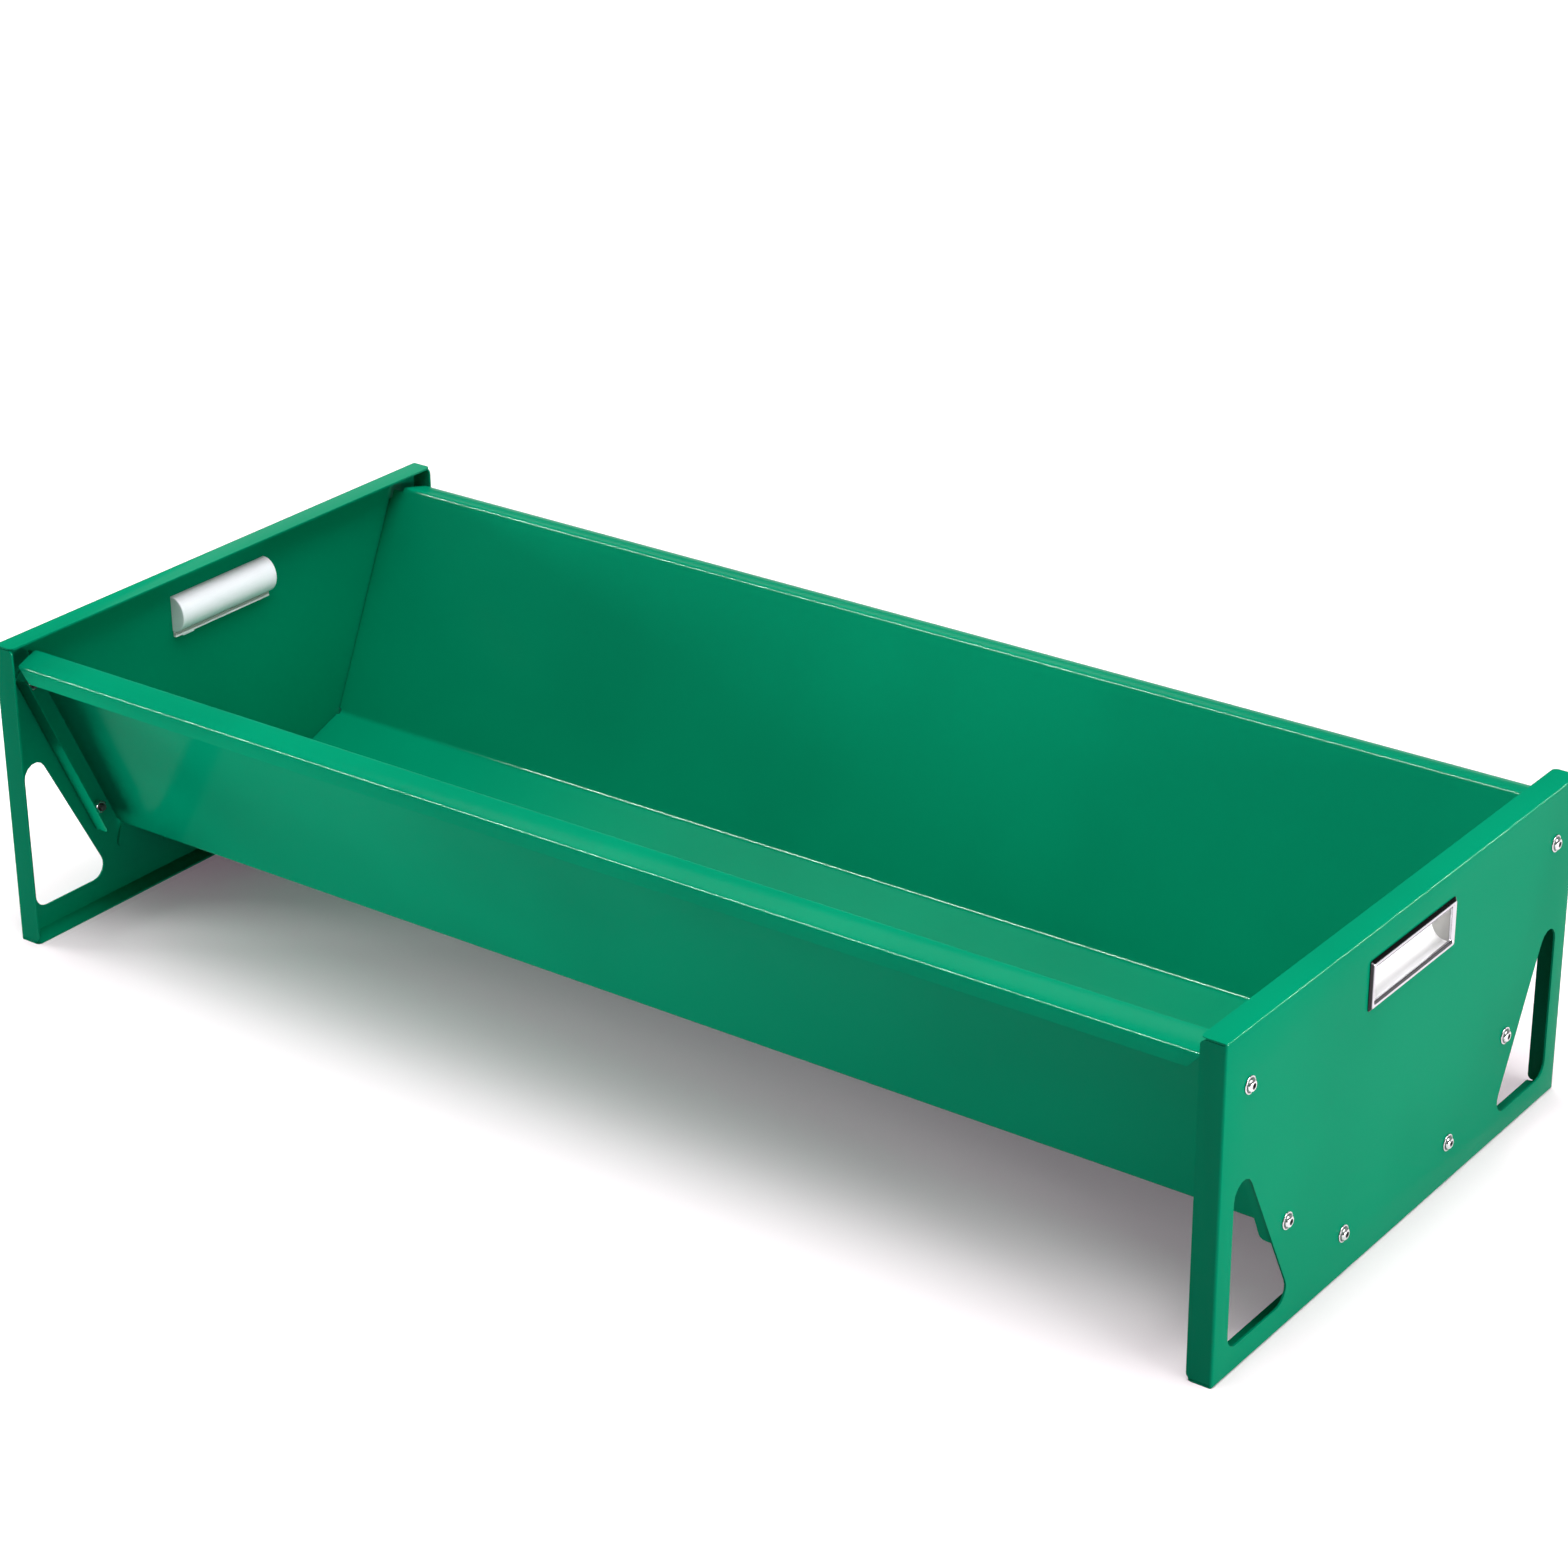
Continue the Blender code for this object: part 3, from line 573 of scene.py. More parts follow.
def bolt_piece(name, side, seat, sizes):
    """A button-head bolt: rows of radius and height turned about X.

    A point is (x0 + side h, y0 + R cos a, z0 + R sin a). R is the row's radius r, but in the
    socket it is six-sided, and on the thread it is r - d |2 frac(h / pitch - a / 2 pi) - 1|,
    where d fades out at both ends of the thread.
    """
    low, top = -sizes.bolt_length, sizes.head_height
    threads = np.arange(low + BOLT_TIP, -BOLT_NECK, sizes.pitch / THREAD_ROWS)
    body = np.concatenate((
        shank_rows(low, threads, sizes.shank_radius), head_rows(sizes.head_radius, top),
    ))
    socket = socket_rows(sizes.socket_across * HEXAGON_CORNER, top, top - sizes.socket_depth)
    angle = full_turn(BOLT_STEPS)
    rows = np.concatenate((body, socket))
    # The third column of the rows is painted shade, carried to every point of the turn.
    radius, height, recess = np.repeat(rows.T[:, :, None], BOLT_STEPS, axis=2)
    started = np.clip((height - threads[0]) / THREAD_FADE, 0.0, 1.0)
    ended = np.clip((threads[-1] - height) / THREAD_FADE, 0.0, 1.0)
    turn = np.mod(height / sizes.pitch - angle / (2 * math.pi), 1.0)
    radius -= sizes.thread_depth * started * ended * np.abs(2 * turn - 1)
    radius[len(body):] *= six_sided(angle, 1.0, SOCKET_CRISPNESS) / HEXAGON_CORNER
    grid = about_x(seat, side * height, radius, angle)
    return piece_from_grid(name, grid, {"recess": recess}, math.radians(28))


def nut_piece(name, side, seat, sizes):
    """A hexagon nut: a closed section of radius and height turned about X.

    The outer radius H is six-sided. Both faces are cut by a cone, so the flank ends at
    (H - c) tan 30 degrees from each face, where c is the radius of the round face.
    """
    angle = full_turn(NUT_STEPS)
    outer = six_sided(angle, sizes.nut_across, NUT_CRISPNESS)
    face = np.minimum(NUT_FACE * sizes.nut_across, outer)
    flank = (outer - face) * math.tan(math.radians(30)) + NUT_EDGE
    height, bore = sizes.nut_height, sizes.shank_radius + THREAD_GAP
    section = np.array([np.broadcast_arrays(angle, *row)[1:] for row in (
        (bore, NUT_LEAD), (bore + NUT_LEAD, 0.0), (face, 0.0), (outer, flank),
        (outer, height - flank), (face, height), (bore + NUT_LEAD, height),
        (bore, height - NUT_LEAD),
    )])
    radius, level = section[:, 0], section[:, 1]
    # Painted shade on the rows at both mouths of the bore.
    recess = np.zeros(radius.shape)
    recess[[0, -1]] = 1.0
    grid = about_x(seat, -side * level, radius, angle)
    return piece_from_grid(name, grid, {"recess": recess}, math.radians(25), wrap_rows=True)


def bezel_piece(name, side, sizes):
    """A rolled frame: a section of depth u and height h carried round a rounded rectangle.

    At the corner angle a, inside the outer edge by u, a point is the corner's centre plus
    c (cos a, sin a), where c stays the same and the centre moves inward by u on both axes.
    Shade is painted dark on the foot of the outer slope and in the groove along the inner edge.
    """
    border, thick = sizes.bezel_border, BEZEL_HIGH.x - BEZEL_LOW.x
    half = np.array((BEZEL_HIGH.y, (BEZEL_HIGH.z - BEZEL_LOW.z) / 2))
    middle = (BEZEL_HIGH.z + BEZEL_LOW.z) / 2
    section = rounded(np.multiply(BEZEL_SECTION, (border, thick)), sizes.bezel_roll, steps=5)
    depth, height = section.T
    corner = sizes.bezel_corner
    turn = np.linspace(0.0, math.pi / 2, 9)
    angle = np.concatenate([turn + quarter * math.pi / 2 for quarter in range(4)])
    signs = np.repeat(((1.0, 1.0), (-1.0, 1.0), (-1.0, -1.0), (1.0, -1.0)), len(turn), axis=0)
    centre = signs[:, None, :] * (half - corner - depth[None, :, None])
    flat = centre + corner * np.stack((np.cos(angle), np.sin(angle)), axis=1)[:, None, :]
    x = np.repeat(side * (BEZEL_LOW.x + height)[None, :], len(angle), axis=0)
    grid = np.stack((x, flat[..., 0], middle + flat[..., 1]), axis=-1)
    inward, raised = depth / border, height / thick
    foot = np.clip((BEZEL_FOOT - inward) / BEZEL_FOOT_FADE, 0.0, 1.0)
    start, end = BEZEL_GROOVE
    groove = (inward > start) & (inward < end) & (raised < BEZEL_GROOVE_TOP)
    # Painted shade: dark at the foot of the outer slope and in the groove.
    recess = np.repeat(np.maximum(foot, groove)[None, :], len(angle), axis=0)
    return piece_from_grid(name, grid, {"recess": recess}, math.radians(40), wrap_rows=True)


def cup_section(radius, mouth, steps):
    """Points from the upper lip round the half circle to the lower lip, as (x, z)."""
    centre = CUP_LOW.x + CUP_RADIUS
    turn = np.linspace(math.pi / 2, 3 * math.pi / 2, steps)
    neck = np.linspace(mouth, centre, 4)[:-1]
    x = np.concatenate((neck, np.full(steps, centre), neck[::-1]))
    x_share = np.concatenate((0 * neck, np.cos(turn), 0 * neck))
    z_share = np.concatenate((np.ones(neck.size), np.sin(turn), -np.ones(neck.size)))
    return x[None, :] + radius[:, None] * x_share[None, :], radius[:, None] * z_share[None, :]


def cup_skin(radius, reach, fillet, bead, mouth):
    """One skin of the cup from end to end: a half-round section carried along Y.

    The section's radius shrinks to nothing along each flat end wall, and turns into the body
    over a quarter circle of the fillet's radius. A bead stands out beside each end.
    """
    wall = np.linspace(0.0, 1.0, 5)[:-1] * (radius - fillet)
    turn = np.linspace(0.0, math.pi / 2, 7)
    corner_radius = radius - fillet * (1 - np.sin(turn))
    corner_place = reach - fillet * (1 - np.cos(turn))
    inward, drawn_in = np.transpose(CUP_BODY)
    half_radius = np.concatenate((wall, corner_radius, radius - bead * drawn_in))
    half_place = np.concatenate((0 * wall + reach, corner_place, reach - fillet - inward))
    radii = np.concatenate((half_radius, half_radius[::-1]))
    places = np.concatenate((half_place, -half_place[::-1]))
    x, z = cup_section(radii, mouth, steps=37)
    share = np.clip(radii / (radius - fillet), 0.0, 1.0)[:, None]
    x = mouth + (x - mouth) * share
    y = np.repeat(places[:, None], x.shape[1], axis=1)
    return np.stack((x, y, z), axis=-1)


def cup_piece(name, side, sizes):
    """The half-round cup: its outer skin and its inner skin joined round the mouth.

    Its depth d at each point becomes share d, so that the cup is a little flatter than round.
    The inner skin is marked inside, which paints it brighter as light, and shade is painted grey on
    its end walls.
    """
    wall, reach, mouth = sizes.cup_wall, CUP_HIGH.y, CUP_HIGH.x
    outer = cup_skin(CUP_RADIUS, reach, sizes.cup_fillet, sizes.cup_bead, mouth)
    inner = cup_skin(CUP_RADIUS - wall, reach - wall, sizes.cup_fillet, 0.0, mouth)
    grid = np.concatenate((outer, inner[:, ::-1]), axis=1)
    grid[..., 0] = side * (mouth - (mouth - grid[..., 0]) * sizes.cup_depth)
    grid[..., 2] += (CUP_HIGH.z + CUP_LOW.z) / 2
    # Painted light on the inner skin, and painted shade on its end walls.
    inside = np.zeros(grid.shape[:2])
    inside[:, outer.shape[1]:] = 1.0
    dull = inside.copy()
    dull[CUP_PAINTED_SHADE_ROWS:-CUP_PAINTED_SHADE_ROWS] = 0.0
    marks = {"inside": inside, "dull": dull}
    return piece_from_grid(name, grid, marks, math.radians(35))


def strip_piece(name, side, sizes):
    """The strip under the cup: a grooved section carried along Y, dropped lower at the tab.

    The top down to its groove is painted grey as shade, and below it a bright line is painted as
    light.
    """
    deep, height = STRIP_HIGH.x - STRIP_LOW.x, sizes.strip_height
    front, back = STRIP_LOW.y, STRIP_HIGH.y
    drop = STRIP_HIGH.z - height - STRIP_LOW.z
    tab = front + sizes.tab_start
    past = tab + sizes.tab_length
    # Along the strip: the place, the share of the tab's drop and how full the section is there.
    along = np.array((
        (front, 0, 0), (front, 0, 0.9), (front + STRIP_EASE, 0, 1), (tab, 0, 1), (tab, 0.93, 1),
        (tab + STRIP_EASE, 1, 1), (past - STRIP_EASE, 1, 1), (past, 0.93, 1), (past, 0, 1),
        (back - STRIP_EASE, 0, 1), (back, 0, 0.9), (back, 0, 0),
    ))
    # Round the section: how far it stands out, its height, and whether it is painted grey as shade,
    # painted bright as light, or lowered with the tab.
    section = np.array((
        (0.0, 0.0, 0, 0, 0), (deep - STRIP_EASE, 0.0, 1, 0, 0), (deep, -STRIP_NICK, 1, 0, 0),
        (deep, -0.32 * height, 1, 0, 0), (deep - STRIP_GROOVE, -0.44 * height, 1, 0, 0),
        (deep - STRIP_GROOVE, -0.56 * height, 1, 0, 0), (deep, -0.68 * height, 0, 1, 0),
        (deep, STRIP_NICK - height, 0, 1, 0), (deep - STRIP_EASE, -height, 0, 1, 0),
        (sizes.tab_thickness, -height, 0, 1, 0), (sizes.tab_thickness, -height, 0, 0, 1),
        (0.0, -height, 0, 0, 1),
    ))
    place, lowered, fullness = along.T[:, :, None]
    middle = np.array((deep / 2, -height / 2))
    across = middle + (section[None, :, :2] - middle) * fullness[..., None]
    x = side * (STRIP_HIGH.x - across[..., 0])
    z = STRIP_HIGH.z + across[..., 1] - drop * lowered * section[:, 4]
    grid = np.stack((x, np.broadcast_to(place, x.shape), z), axis=-1)
    marks = {
        mark: np.repeat(section[None, :, column], len(along), axis=0)
        for mark, column in (("dull", 2), ("inside", 3))
    }
    return piece_from_grid(name, grid, marks, math.radians(30))


class TroughFinishes(bpy.types.PropertyGroup):
    """Colours and polish of the trough's surfaces."""

    green: FloatVectorProperty(
        name="Coat green", description="Colour of the powder coat", subtype="COLOR",
        min=0.0, max=1.0, default=(0.0, 0.220, 0.110),
    )
    coat_shine: FloatProperty(
        name="Coat shine", description="How strongly the coat mirrors its surroundings",
        min=0.0, max=1.0, default=0.004,
    )
    coat_gloss: FloatProperty(
        name="Coat gloss", description="Share of a smooth clear layer on the coat", min=0.0,
        max=1.0, default=0.05,
    )
    gloss_roughness: FloatProperty(
        name="Gloss roughness", description="How far the clear layer spreads a reflection",
        min=0.0, max=1.0, default=0.16,
    )
    coat_tint: FloatVectorProperty(
        name="Coat tint", description="Colour of what the coat mirrors", subtype="COLOR",
        min=0.0, max=1.0, default=(0.4, 1.0, 0.85),
    )
    coat_roughness: FloatProperty(
        name="Coat roughness", description="How far the coat spreads a reflection",
        min=0.0, max=1.0, default=0.12,
    )
    peel_size: FloatProperty(
        name="Peel size", description="Width of the coat's orange peel", unit="LENGTH",
        default=0.0022,
    )
    peel_depth: FloatProperty(
        name="Peel depth", description="Height of the coat's orange peel", unit="LENGTH",
        default=0.00005, precision=6,
    )
    chrome: FloatVectorProperty(
        name="Chrome", description="Colour of the chrome plate", subtype="COLOR",
        min=0.0, max=1.0, default=(0.60, 0.60, 0.63),
    )
    chrome_roughness: FloatProperty(
        name="Chrome roughness", description="How far the chrome spreads a reflection",
        min=0.0, max=1.0, default=0.05,
    )
    satin: FloatVectorProperty(
        name="Satin metal", description="Colour of the handle cups", subtype="COLOR",
        min=0.0, max=1.0, default=(0.84, 0.87, 0.91),
    )
    # Painted light: the brighter colour of the cups' inside and the strips' lower edge.
    satin_painted_light: FloatVectorProperty(
        name="Cup inside", description="Colour of the cups' inside", subtype="COLOR",
        min=0.0, max=1.0, default=(0.97, 0.97, 0.97),
    )
    # Painted shade: the grey of the cups' inner end walls and the strips' tops.
    satin_painted_shadow: FloatVectorProperty(
        name="Dull metal", description="Colour of the cups' end walls and of the strips' tops",
        subtype="COLOR", min=0.0, max=1.0, default=(0.42, 0.42, 0.40),
    )
    satin_metal: FloatProperty(
        name="Satin metalness", description="Share of bare metal in the cups' finish",
        min=0.0, max=1.0, default=0.06,
    )
    satin_roughness: FloatProperty(
        name="Satin roughness", description="How far the cups spread a reflection",
        min=0.0, max=1.0, default=0.38,
    )
    zinc: FloatVectorProperty(
        name="Zinc", description="Colour of the zinc plate", subtype="COLOR",
        min=0.0, max=1.0, default=(0.74, 0.74, 0.75),
    )
    zinc_metal: FloatProperty(
        name="Zinc metalness", description="Share of bare metal in the zinc plate",
        min=0.0, max=1.0, default=0.92,
    )
    zinc_roughness: FloatProperty(
        name="Zinc roughness", description="How far the zinc spreads a reflection",
        min=0.0, max=1.0, default=0.13,
    )


class TroughSheets(bpy.types.PropertyGroup):
    """Edges of the folded sheets."""

    edge: FloatProperty(
        name="Edge rounding", description="Width of the rounding on the sheets' cut edges",
        unit="LENGTH", default=0.0003, precision=5,
    )
    sharp: FloatProperty(
        name="Fold limit", description="Angle up to which neighbouring faces shade as one",
        subtype="ANGLE", default=math.radians(35),
    )


class TroughFasteners(bpy.types.PropertyGroup):
    """Sizes of the bolts and nuts."""

    head_radius: FloatProperty(
        name="Head radius", description="Radius of a bolt's head", unit="LENGTH",
        default=(BOLT_HIGH.y - BOLT_LOW.y) / 2, precision=5,
    )
    head_height: FloatProperty(
        name="Head height", description="Height of a bolt's head", unit="LENGTH", default=0.0034,
        precision=5,
    )
    bolt_length: FloatProperty(
        name="Bolt length", description="Length of a bolt under its head", unit="LENGTH",
        default=0.012, precision=5,
    )
    shank_radius: FloatProperty(
        name="Shank radius", description="Radius over a bolt's thread", unit="LENGTH",
        default=0.003, precision=5,
    )
    pitch: FloatProperty(
        name="Pitch", description="Distance from one thread to the next", unit="LENGTH",
        default=0.001, precision=5,
    )
    thread_depth: FloatProperty(
        name="Thread depth", description="Depth of the thread", unit="LENGTH", default=0.00045,
        precision=5,
    )
    socket_across: FloatProperty(
        name="Socket width", description="Width of a bolt's socket across its flats",
        unit="LENGTH", default=0.004, precision=5,
    )
    socket_depth: FloatProperty(
        name="Socket depth", description="Depth of a bolt's socket", unit="LENGTH",
        default=0.0018, precision=5,
    )
    nut_across: FloatProperty(
        name="Nut width", description="Width of a nut across its flats", unit="LENGTH",
        default=0.010, precision=5,
    )
    nut_height: FloatProperty(
        name="Nut height", description="Height of a nut", unit="LENGTH",
        default=NUT_HIGH.x - NUT_LOW.x, precision=5,
    )


class TroughHandles(bpy.types.PropertyGroup):
    """Sizes of the sunk handles."""

    bezel_border: FloatProperty(
        name="Frame width", description="Width of the chrome frame's border", unit="LENGTH",
        default=0.0065, precision=5,
    )
    bezel_corner: FloatProperty(
        name="Frame corner", description="Radius of the chrome frame's corners", unit="LENGTH",
        default=0.0018, precision=5,
    )
    bezel_roll: FloatProperty(
        name="Frame roll", description="Rounding between the facets of the frame's section",
        unit="LENGTH", default=0.0004, precision=5,
    )
    cup_wall: FloatProperty(
        name="Cup wall", description="Thickness of the cup's metal", unit="LENGTH",
        default=0.001, precision=5,
    )
    cup_depth: FloatProperty(
        name="Cup depth", description="Depth of the cup as a share of a full half round",
        min=0.1, max=1.0, default=0.84,
    )
    cup_fillet: FloatProperty(
        name="Cup fillet", description="Radius between the cup's body and its ends",
        unit="LENGTH", default=0.0008, precision=5,
    )
    cup_bead: FloatProperty(
        name="Cup bead", description="How far the bead at each end stands out", unit="LENGTH",
        default=0.0003, precision=5,
    )
    strip_height: FloatProperty(
        name="Strip height", description="Height of the strip under the cup", unit="LENGTH",
        default=0.0042, precision=5,
    )
    tab_start: FloatProperty(
        name="Tab place", description="Distance of the tab from the strip's front end",
        unit="LENGTH", default=0.010, precision=5,
    )
    tab_length: FloatProperty(
        name="Tab length", description="Length of the tab along the strip", unit="LENGTH",
        default=0.013, precision=5,
    )
    tab_thickness: FloatProperty(
        name="Tab thickness", description="Thickness of the tab", unit="LENGTH", default=0.001,
        precision=5,
    )


class TroughStudio(bpy.types.PropertyGroup):
    """The floor, lights and camera."""

    floor: FloatVectorProperty(
        name="Floor", description="Colour of the floor", subtype="COLOR", min=0.0, max=1.0,
        default=(0.92, 0.88, 0.895),
    )
    floor_glow: FloatProperty(
        name="Floor glow", description="Light that the floor gives off near the trough", min=0.0,
        default=0.115,
    )
    glow_colour: FloatVectorProperty(
        name="Glow colour", description="Colour that takes the green cast out of the shadow",
        subtype="COLOR", min=0.0, max=1.0, default=(1.0, 0.50, 0.77),
    )
    far_glow: FloatProperty(
        name="Far glow", description="Light that the floor gives off far from the trough",
        min=0.0, default=0.85,
    )
    glow_turns_at: FloatProperty(
        name="Glow turns at", description="Distance at which the near glow begins to fade",
        unit="LENGTH", default=1.3,
    )
    glow_white_at: FloatProperty(
        name="Glow white at", description="Distance at which only the far glow is left",
        unit="LENGTH", default=4.5,
    )
    floor_throw: FloatProperty(
        name="Floor throw", description="Share of its light that the floor throws back",
        min=0.0, max=1.0, default=0.28,
    )
    mirrored: FloatProperty(
        name="Mirrored sky", description="How bright the sky looks in reflections", min=0.0,
        max=1.0, default=0.5,
    )
    floor_size: FloatProperty(
        name="Floor radius", description="Distance from the trough to the floor's edge",
        unit="LENGTH", default=40.0,
    )
    sky_above: FloatProperty(
        name="Sky above", description="Strength of the even light from above", min=0.0,
        default=0.45,
    )
    sky_behind: FloatProperty(
        name="Sky behind", description="Strength of the even light from behind", min=0.0,
        default=0.25,
    )
    backdrop: FloatProperty(
        name="Backdrop", description="Brightness of the backdrop beyond the floor", min=0.0,
        default=1.0,
    )
    ceiling: FloatProperty(
        name="Ceiling light", description="Power of the large light overhead", unit="POWER",
        default=72.0,
    )
    rear_light: FloatProperty(
        name="Rear light", description="Power of the high light behind", unit="POWER",
        default=11.0,
    )
    back_light: FloatProperty(
        name="Back light", description="Power of the light on the far wall", unit="POWER",
        default=9.0,
    )
    under_light: FloatProperty(
        name="Light from below", description="Power of the light that comes through the floor",
        unit="POWER", default=15.0,
    )
    side_light: FloatProperty(
        name="Side light", description="Power of the light at the right", unit="POWER",
        default=46.5,
    )
    left_light: FloatProperty(
        name="Left light", description="Power of the light at the left", unit="POWER",
        default=20.0,
    )
    front_light: FloatProperty(
        name="Front light", description="Power of the low light at the left in front",
        unit="POWER", default=82.0,
    )
    cup_light: FloatProperty(
        name="Cup light", description="Power of the light on the cups and strips alone",
        unit="POWER", default=4.8,
    )
    rim_glint: FloatProperty(
        name="Rim glint", description="Power of the strip that draws a line on the pan's folds",
        unit="POWER", default=1400.0,
    )
    panel_glint: FloatProperty(
        name="Panel glint", description="Power of the strip that draws a line on the panels",
        unit="POWER", default=490.0,
    )
    camera_place: FloatVectorProperty(
        name="Camera place", description="Where the camera stands", subtype="TRANSLATION",
        default=(1.650924, -2.199853, 1.480285),
    )
    camera_turn: FloatVectorProperty(
        name="Camera turn", description="How the camera is turned", subtype="EULER",
        default=(math.radians(64.9585), math.radians(0.3515), math.radians(36.271)),
    )
    lens: FloatProperty(
        name="Focal length", description="Focal length of the camera in millimetres", min=1.0,
        default=91.3937,
    )


class TROUGH_OT_pan(bpy.types.Operator):
    """Coat the folded pan"""

    bl_idname = "trough.pan"
    bl_label = "Pan"

    def execute(self, context):
        scene = context.scene
        coat = finish_of("green_powder_coat", green_finish, scene.trough_finishes)
        pan = merged_sheet("coated_pan", "trough_pan", scene.trough_sheets)
        fit(pan, "trough_pan", coat)
        return {"FINISHED"}


class TROUGH_OT_end_panels(bpy.types.Operator):
    """Coat the two end panels"""

    bl_idname = "trough.end_panels"
    bl_label = "End panels"

    def execute(self, context):
        scene = context.scene
        coat = finish_of("green_powder_coat", green_finish, scene.trough_finishes)
        for end, _ in ENDS:
            node = end + "_end_panel"
            panel = merged_sheet("coated_" + node, node, scene.trough_sheets)
            fit(panel, node, coat)
        return {"FINISHED"}


def seats(kind, depth):
    """Every bolt or nut: its node, its side and the point that far inside its outer end."""
    for end, side in ENDS:
        for place in PLACES:
            node = kind + "_" + end + "_" + place
            low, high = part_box(node)
            outer = max(abs(low.x), abs(high.x)) - depth
            yield node, side, (side * outer, (low.y + high.y) / 2, (low.z + high.z) / 2)


class TROUGH_OT_bolts(bpy.types.Operator):
    """Turn the button-head bolts and set one in each hole"""

    bl_idname = "trough.bolts"
    bl_label = "Bolts"

    def execute(self, context):
        scene = context.scene
        sizes = scene.trough_fasteners
        zinc = finish_of("zinc_plate", zinc_finish, scene.trough_finishes)
        for node, side, seat in seats("bolt", sizes.head_height):
            piece = bolt_piece("turned_" + node, side, seat, sizes)
            fit(piece, node, zinc)
        return {"FINISHED"}


class TROUGH_OT_nuts(bpy.types.Operator):
    """Make the hexagon nuts and set one on each bolt"""

    bl_idname = "trough.nuts"
    bl_label = "Nuts"

    def execute(self, context):
        scene = context.scene
        zinc = finish_of("zinc_plate", zinc_finish, scene.trough_finishes)
        for node, side, seat in seats("nut", 0.0):
            piece = nut_piece("chamfered_" + node, side, seat, scene.trough_fasteners)
            fit(piece, node, zinc)
        return {"FINISHED"}


class TROUGH_OT_handles(bpy.types.Operator):
    """Make the chrome frame, the cup and the strip of both handles"""

    bl_idname = "trough.handles"
    bl_label = "Handles"

    def execute(self, context):
        scene = context.scene
        sizes, look = scene.trough_handles, scene.trough_finishes
        chrome = finish_of("chrome_plate", chrome_finish, look)
        satin = finish_of("satin_metal", satin_finish, look)
        parts = (
            ("chrome_", "_handle_bezel", bezel_piece, chrome, "chrome"),
            ("satin_", "_handle_cup", cup_piece, satin, "satin_steel"),
            ("plated_", "_handle_strip", strip_piece, satin, "satin_steel"),
        )
        for end, side in ENDS:
            for prefix, part, maker, finish, slot in parts:
                piece = maker(prefix + end + part, side, sizes)
                fit(piece, end + part, finish)
        return {"FINISHED"}


def sky_of(studio):
    """Even light from above and behind, faded by direction.

    Toward a unit direction w it is above max(0, w.z) + behind max(0, w.y).
    """
    world = bpy.data.worlds.new("studio_sky")
    world.use_nodes = True
    wires = Wire(world.node_tree)
    way = wires.node("ShaderNodeTexCoord", output="Generated")

    def toward(direction):
        share = wires.node(
            "ShaderNodeVectorMath", {"operation": "DOT_PRODUCT"}, {0: way, 1: direction}, "Value",
        )
        return wires.math("MAXIMUM", share, 0.0)

    above = toward((0.0, 0.0, 1.0)) * studio.sky_above
    strength = above + toward((0.0, 1.0, 0.0)) * studio.sky_behind
    seen = wires.node("ShaderNodeLightPath", output="Is Camera Ray")
    mirrored = wires.node("ShaderNodeLightPath", output="Is Glossy Ray")
    dimmed = strength * (1 - mirrored * (1.0 - studio.mirrored))
    shown = seen * studio.backdrop + (1 - seen) * dimmed
    sky = world.node_tree.nodes["Background"]
    sky.inputs["Color"].default_value = (1.0, 1.0, 1.0, 1.0)
    world.node_tree.links.new(shown.socket, sky.inputs["Strength"])
    return world


def lay_floor(studio):
    """A round floor, its rings wider apart toward its edge, as the square of their number."""
    reach = studio.floor_size * (np.arange(1, FLOOR_RINGS + 1) / FLOOR_RINGS)[:, None] ** 2
    angle = full_turn(FLOOR_SPOKES)
    rings = np.stack((reach * np.cos(angle), reach * np.sin(angle), 0 * reach * angle), axis=-1)
    points = np.concatenate((rings.reshape(-1, 3), np.zeros((1, 3))))
    faces = grid_faces(FLOOR_RINGS, FLOOR_SPOKES, False).tolist()
    hub = len(points) - 1
    faces += [(hub, i, (i + 1) % FLOOR_SPOKES) for i in range(FLOOR_SPOKES)]
    mesh = bpy.data.meshes.new("studio_floor")
    mesh.from_pydata(points.tolist(), [], faces)
    mesh.materials.append(finish_of("studio_floor", floor_finish, studio))
    floor = bpy.data.objects.new("studio_floor", mesh)
    floor.visible_shadow = False
    bpy.context.scene.collection.objects.link(floor)
    return floor


def hang(lamp, power):
    """Put a lamp in the scene, facing its aim.

    With d from its place to its aim, it is turned by atan2(sqrt(dx^2 + dy^2), -dz) about X and
    then by atan2(-dx, dy) about Z.
    """
    data = bpy.data.lights.new(lamp.name, "AREA")
    data.shape = "RECTANGLE"
    data.size, data.size_y = lamp.size
    data.energy = power
    data.color = lamp.colour
    light = bpy.data.objects.new(lamp.name, data)
    light.location = lamp.place
    x, y, z = np.subtract(lamp.aim, lamp.place)
    light.rotation_euler = (math.atan2(math.hypot(x, y), -z), 0.0, math.atan2(-x, y))
    bpy.context.scene.collection.objects.link(light)
    for ray in lamp.unseen_by:
        setattr(light, "visible_" + ray, False)
    if lamp.falls_on:
        pieces = bpy.data.collections.new(lamp.name + "_pieces")
        for piece in bpy.data.objects:
            if any(word in piece.name for word in lamp.falls_on):
                pieces.objects.link(piece)
        light.light_linking.receiver_collection = pieces


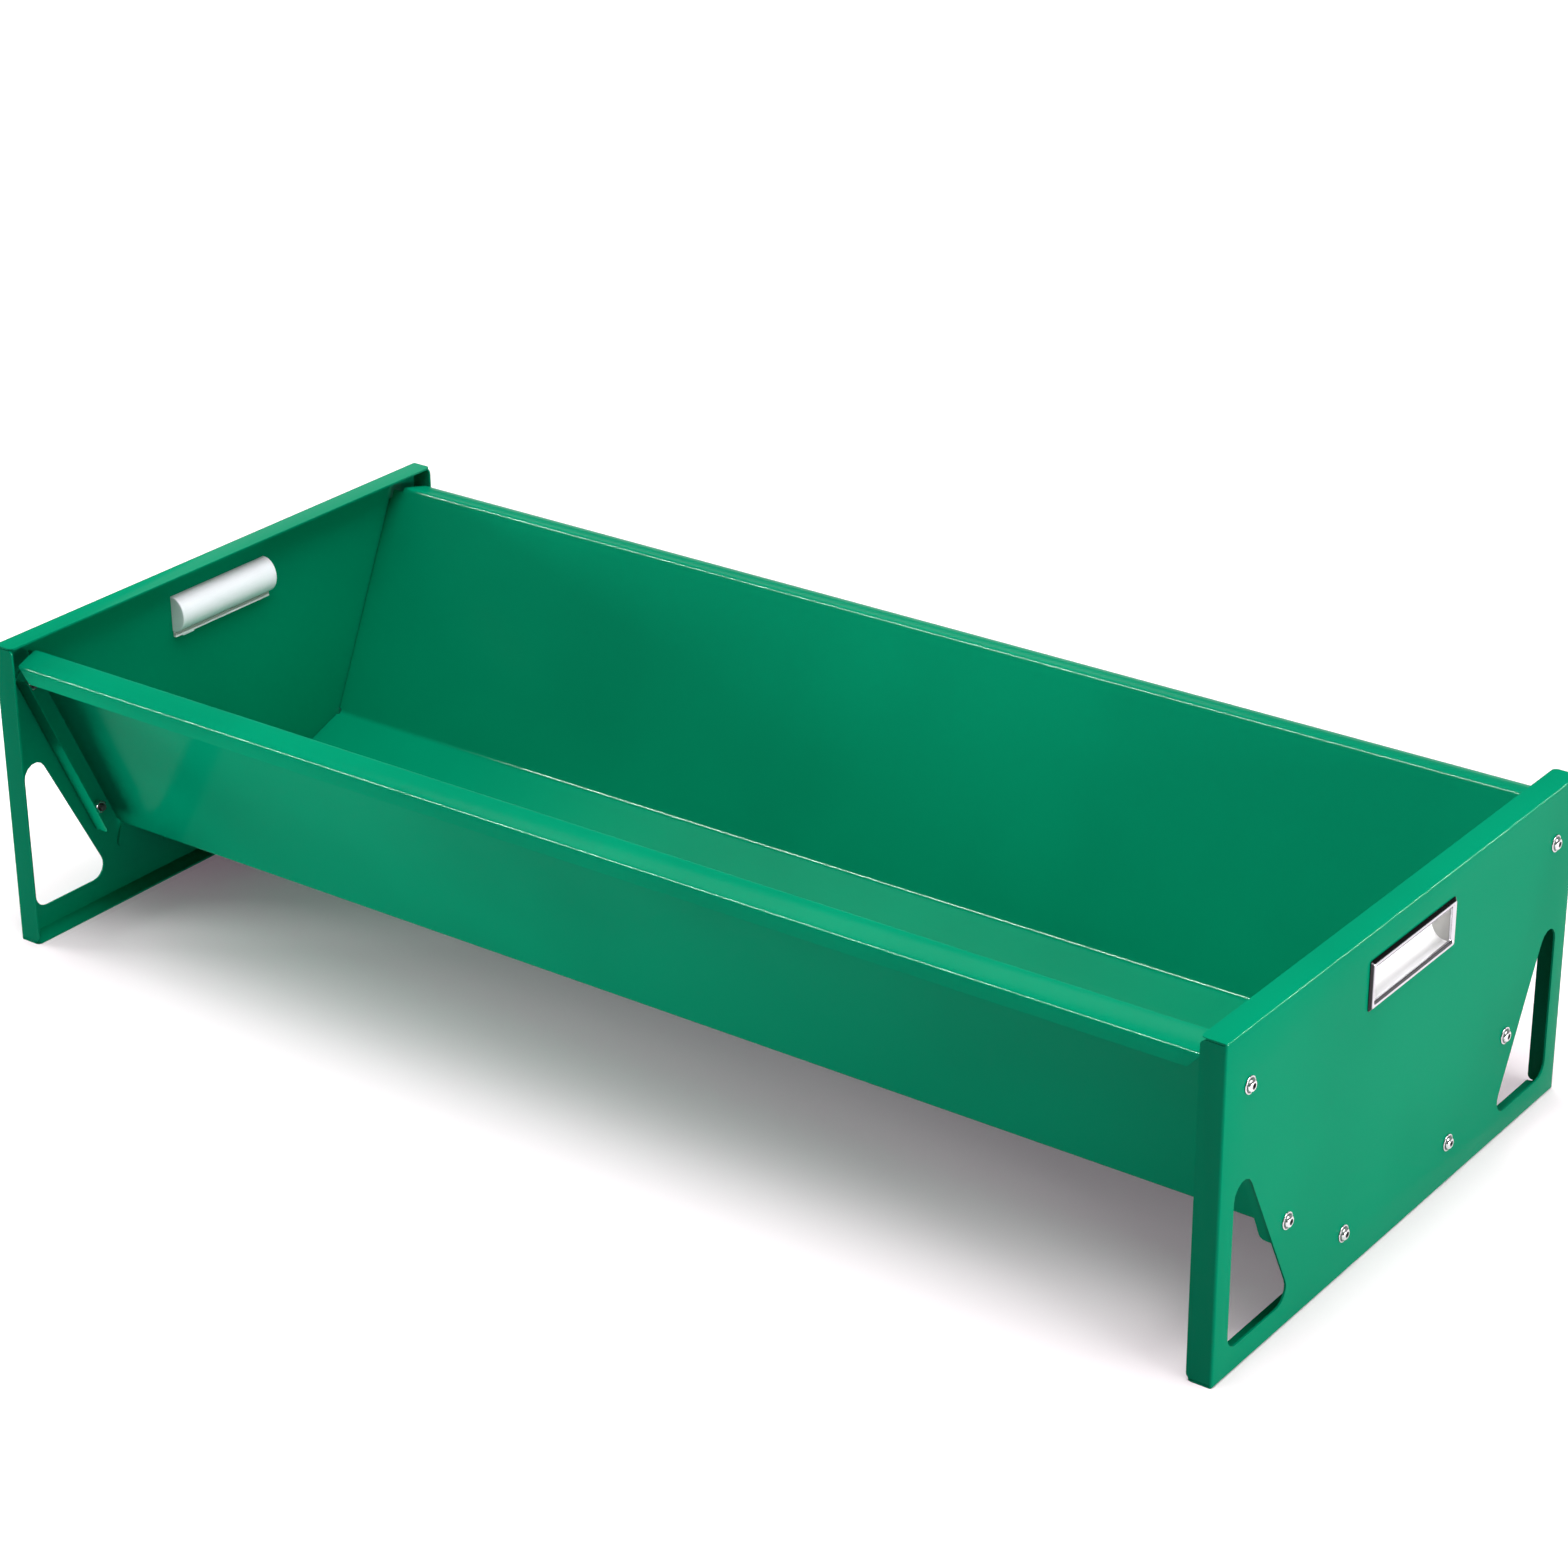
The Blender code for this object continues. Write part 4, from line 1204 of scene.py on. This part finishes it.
def studio_camera(studio):
    """The camera, on a frame 36 mm wide."""
    lens = bpy.data.cameras.new("studio_camera")
    lens.sensor_width = 36.0
    lens.lens = studio.lens
    lens.clip_start = 0.01
    lens.clip_end = 300.0
    camera = bpy.data.objects.new("studio_camera", lens)
    camera.location = studio.camera_place
    camera.rotation_euler = studio.camera_turn
    bpy.context.scene.collection.objects.link(camera)
    return camera


class TROUGH_OT_stage(bpy.types.Operator):
    """Lay the floor, set the lights and place the camera"""

    bl_idname = "trough.stage"
    bl_label = "Studio"

    def execute(self, context):
        scene = context.scene
        studio = scene.trough_studio
        floor = lay_floor(studio)
        scene.world = sky_of(studio)
        for lamp in LAMPS:
            hang(lamp, getattr(studio, lamp.power))
        scene.camera = studio_camera(studio)
        scene.view_settings.view_transform = "Standard"
        return {"FINISHED"}


class TROUGH_PT_pieces(bpy.types.Panel):
    """The trough's pieces and studio, in the order in which they are made"""

    bl_idname = "TROUGH_PT_pieces"
    bl_label = "Feed trough"
    bl_space_type = "VIEW_3D"
    bl_region_type = "UI"
    bl_category = "Trough"

    def draw(self, context):
        for operator in OPERATORS:
            self.layout.operator(operator.bl_idname)


GROUPS = (
    ("trough_finishes", TroughFinishes),
    ("trough_sheets", TroughSheets),
    ("trough_fasteners", TroughFasteners),
    ("trough_handles", TroughHandles),
    ("trough_studio", TroughStudio),
)
OPERATORS = (
    TROUGH_OT_pan, TROUGH_OT_end_panels, TROUGH_OT_bolts, TROUGH_OT_nuts, TROUGH_OT_handles,
    TROUGH_OT_stage,
)


def register():
    for name, group in GROUPS:
        bpy.utils.register_class(group)
        setattr(bpy.types.Scene, name, PointerProperty(type=group))
    for operator in OPERATORS:
        bpy.utils.register_class(operator)
    bpy.utils.register_class(TROUGH_PT_pieces)


def unregister():
    bpy.utils.unregister_class(TROUGH_PT_pieces)
    for operator in reversed(OPERATORS):
        bpy.utils.unregister_class(operator)
    for name, group in reversed(GROUPS):
        delattr(bpy.types.Scene, name)
        bpy.utils.unregister_class(group)


def main():
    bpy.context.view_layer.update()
    register()
    bpy.ops.trough.pan()
    bpy.ops.trough.end_panels()
    bpy.ops.trough.bolts()
    bpy.ops.trough.nuts()
    bpy.ops.trough.handles()
    bpy.ops.trough.stage()


if __name__ == "__main__":
    main()
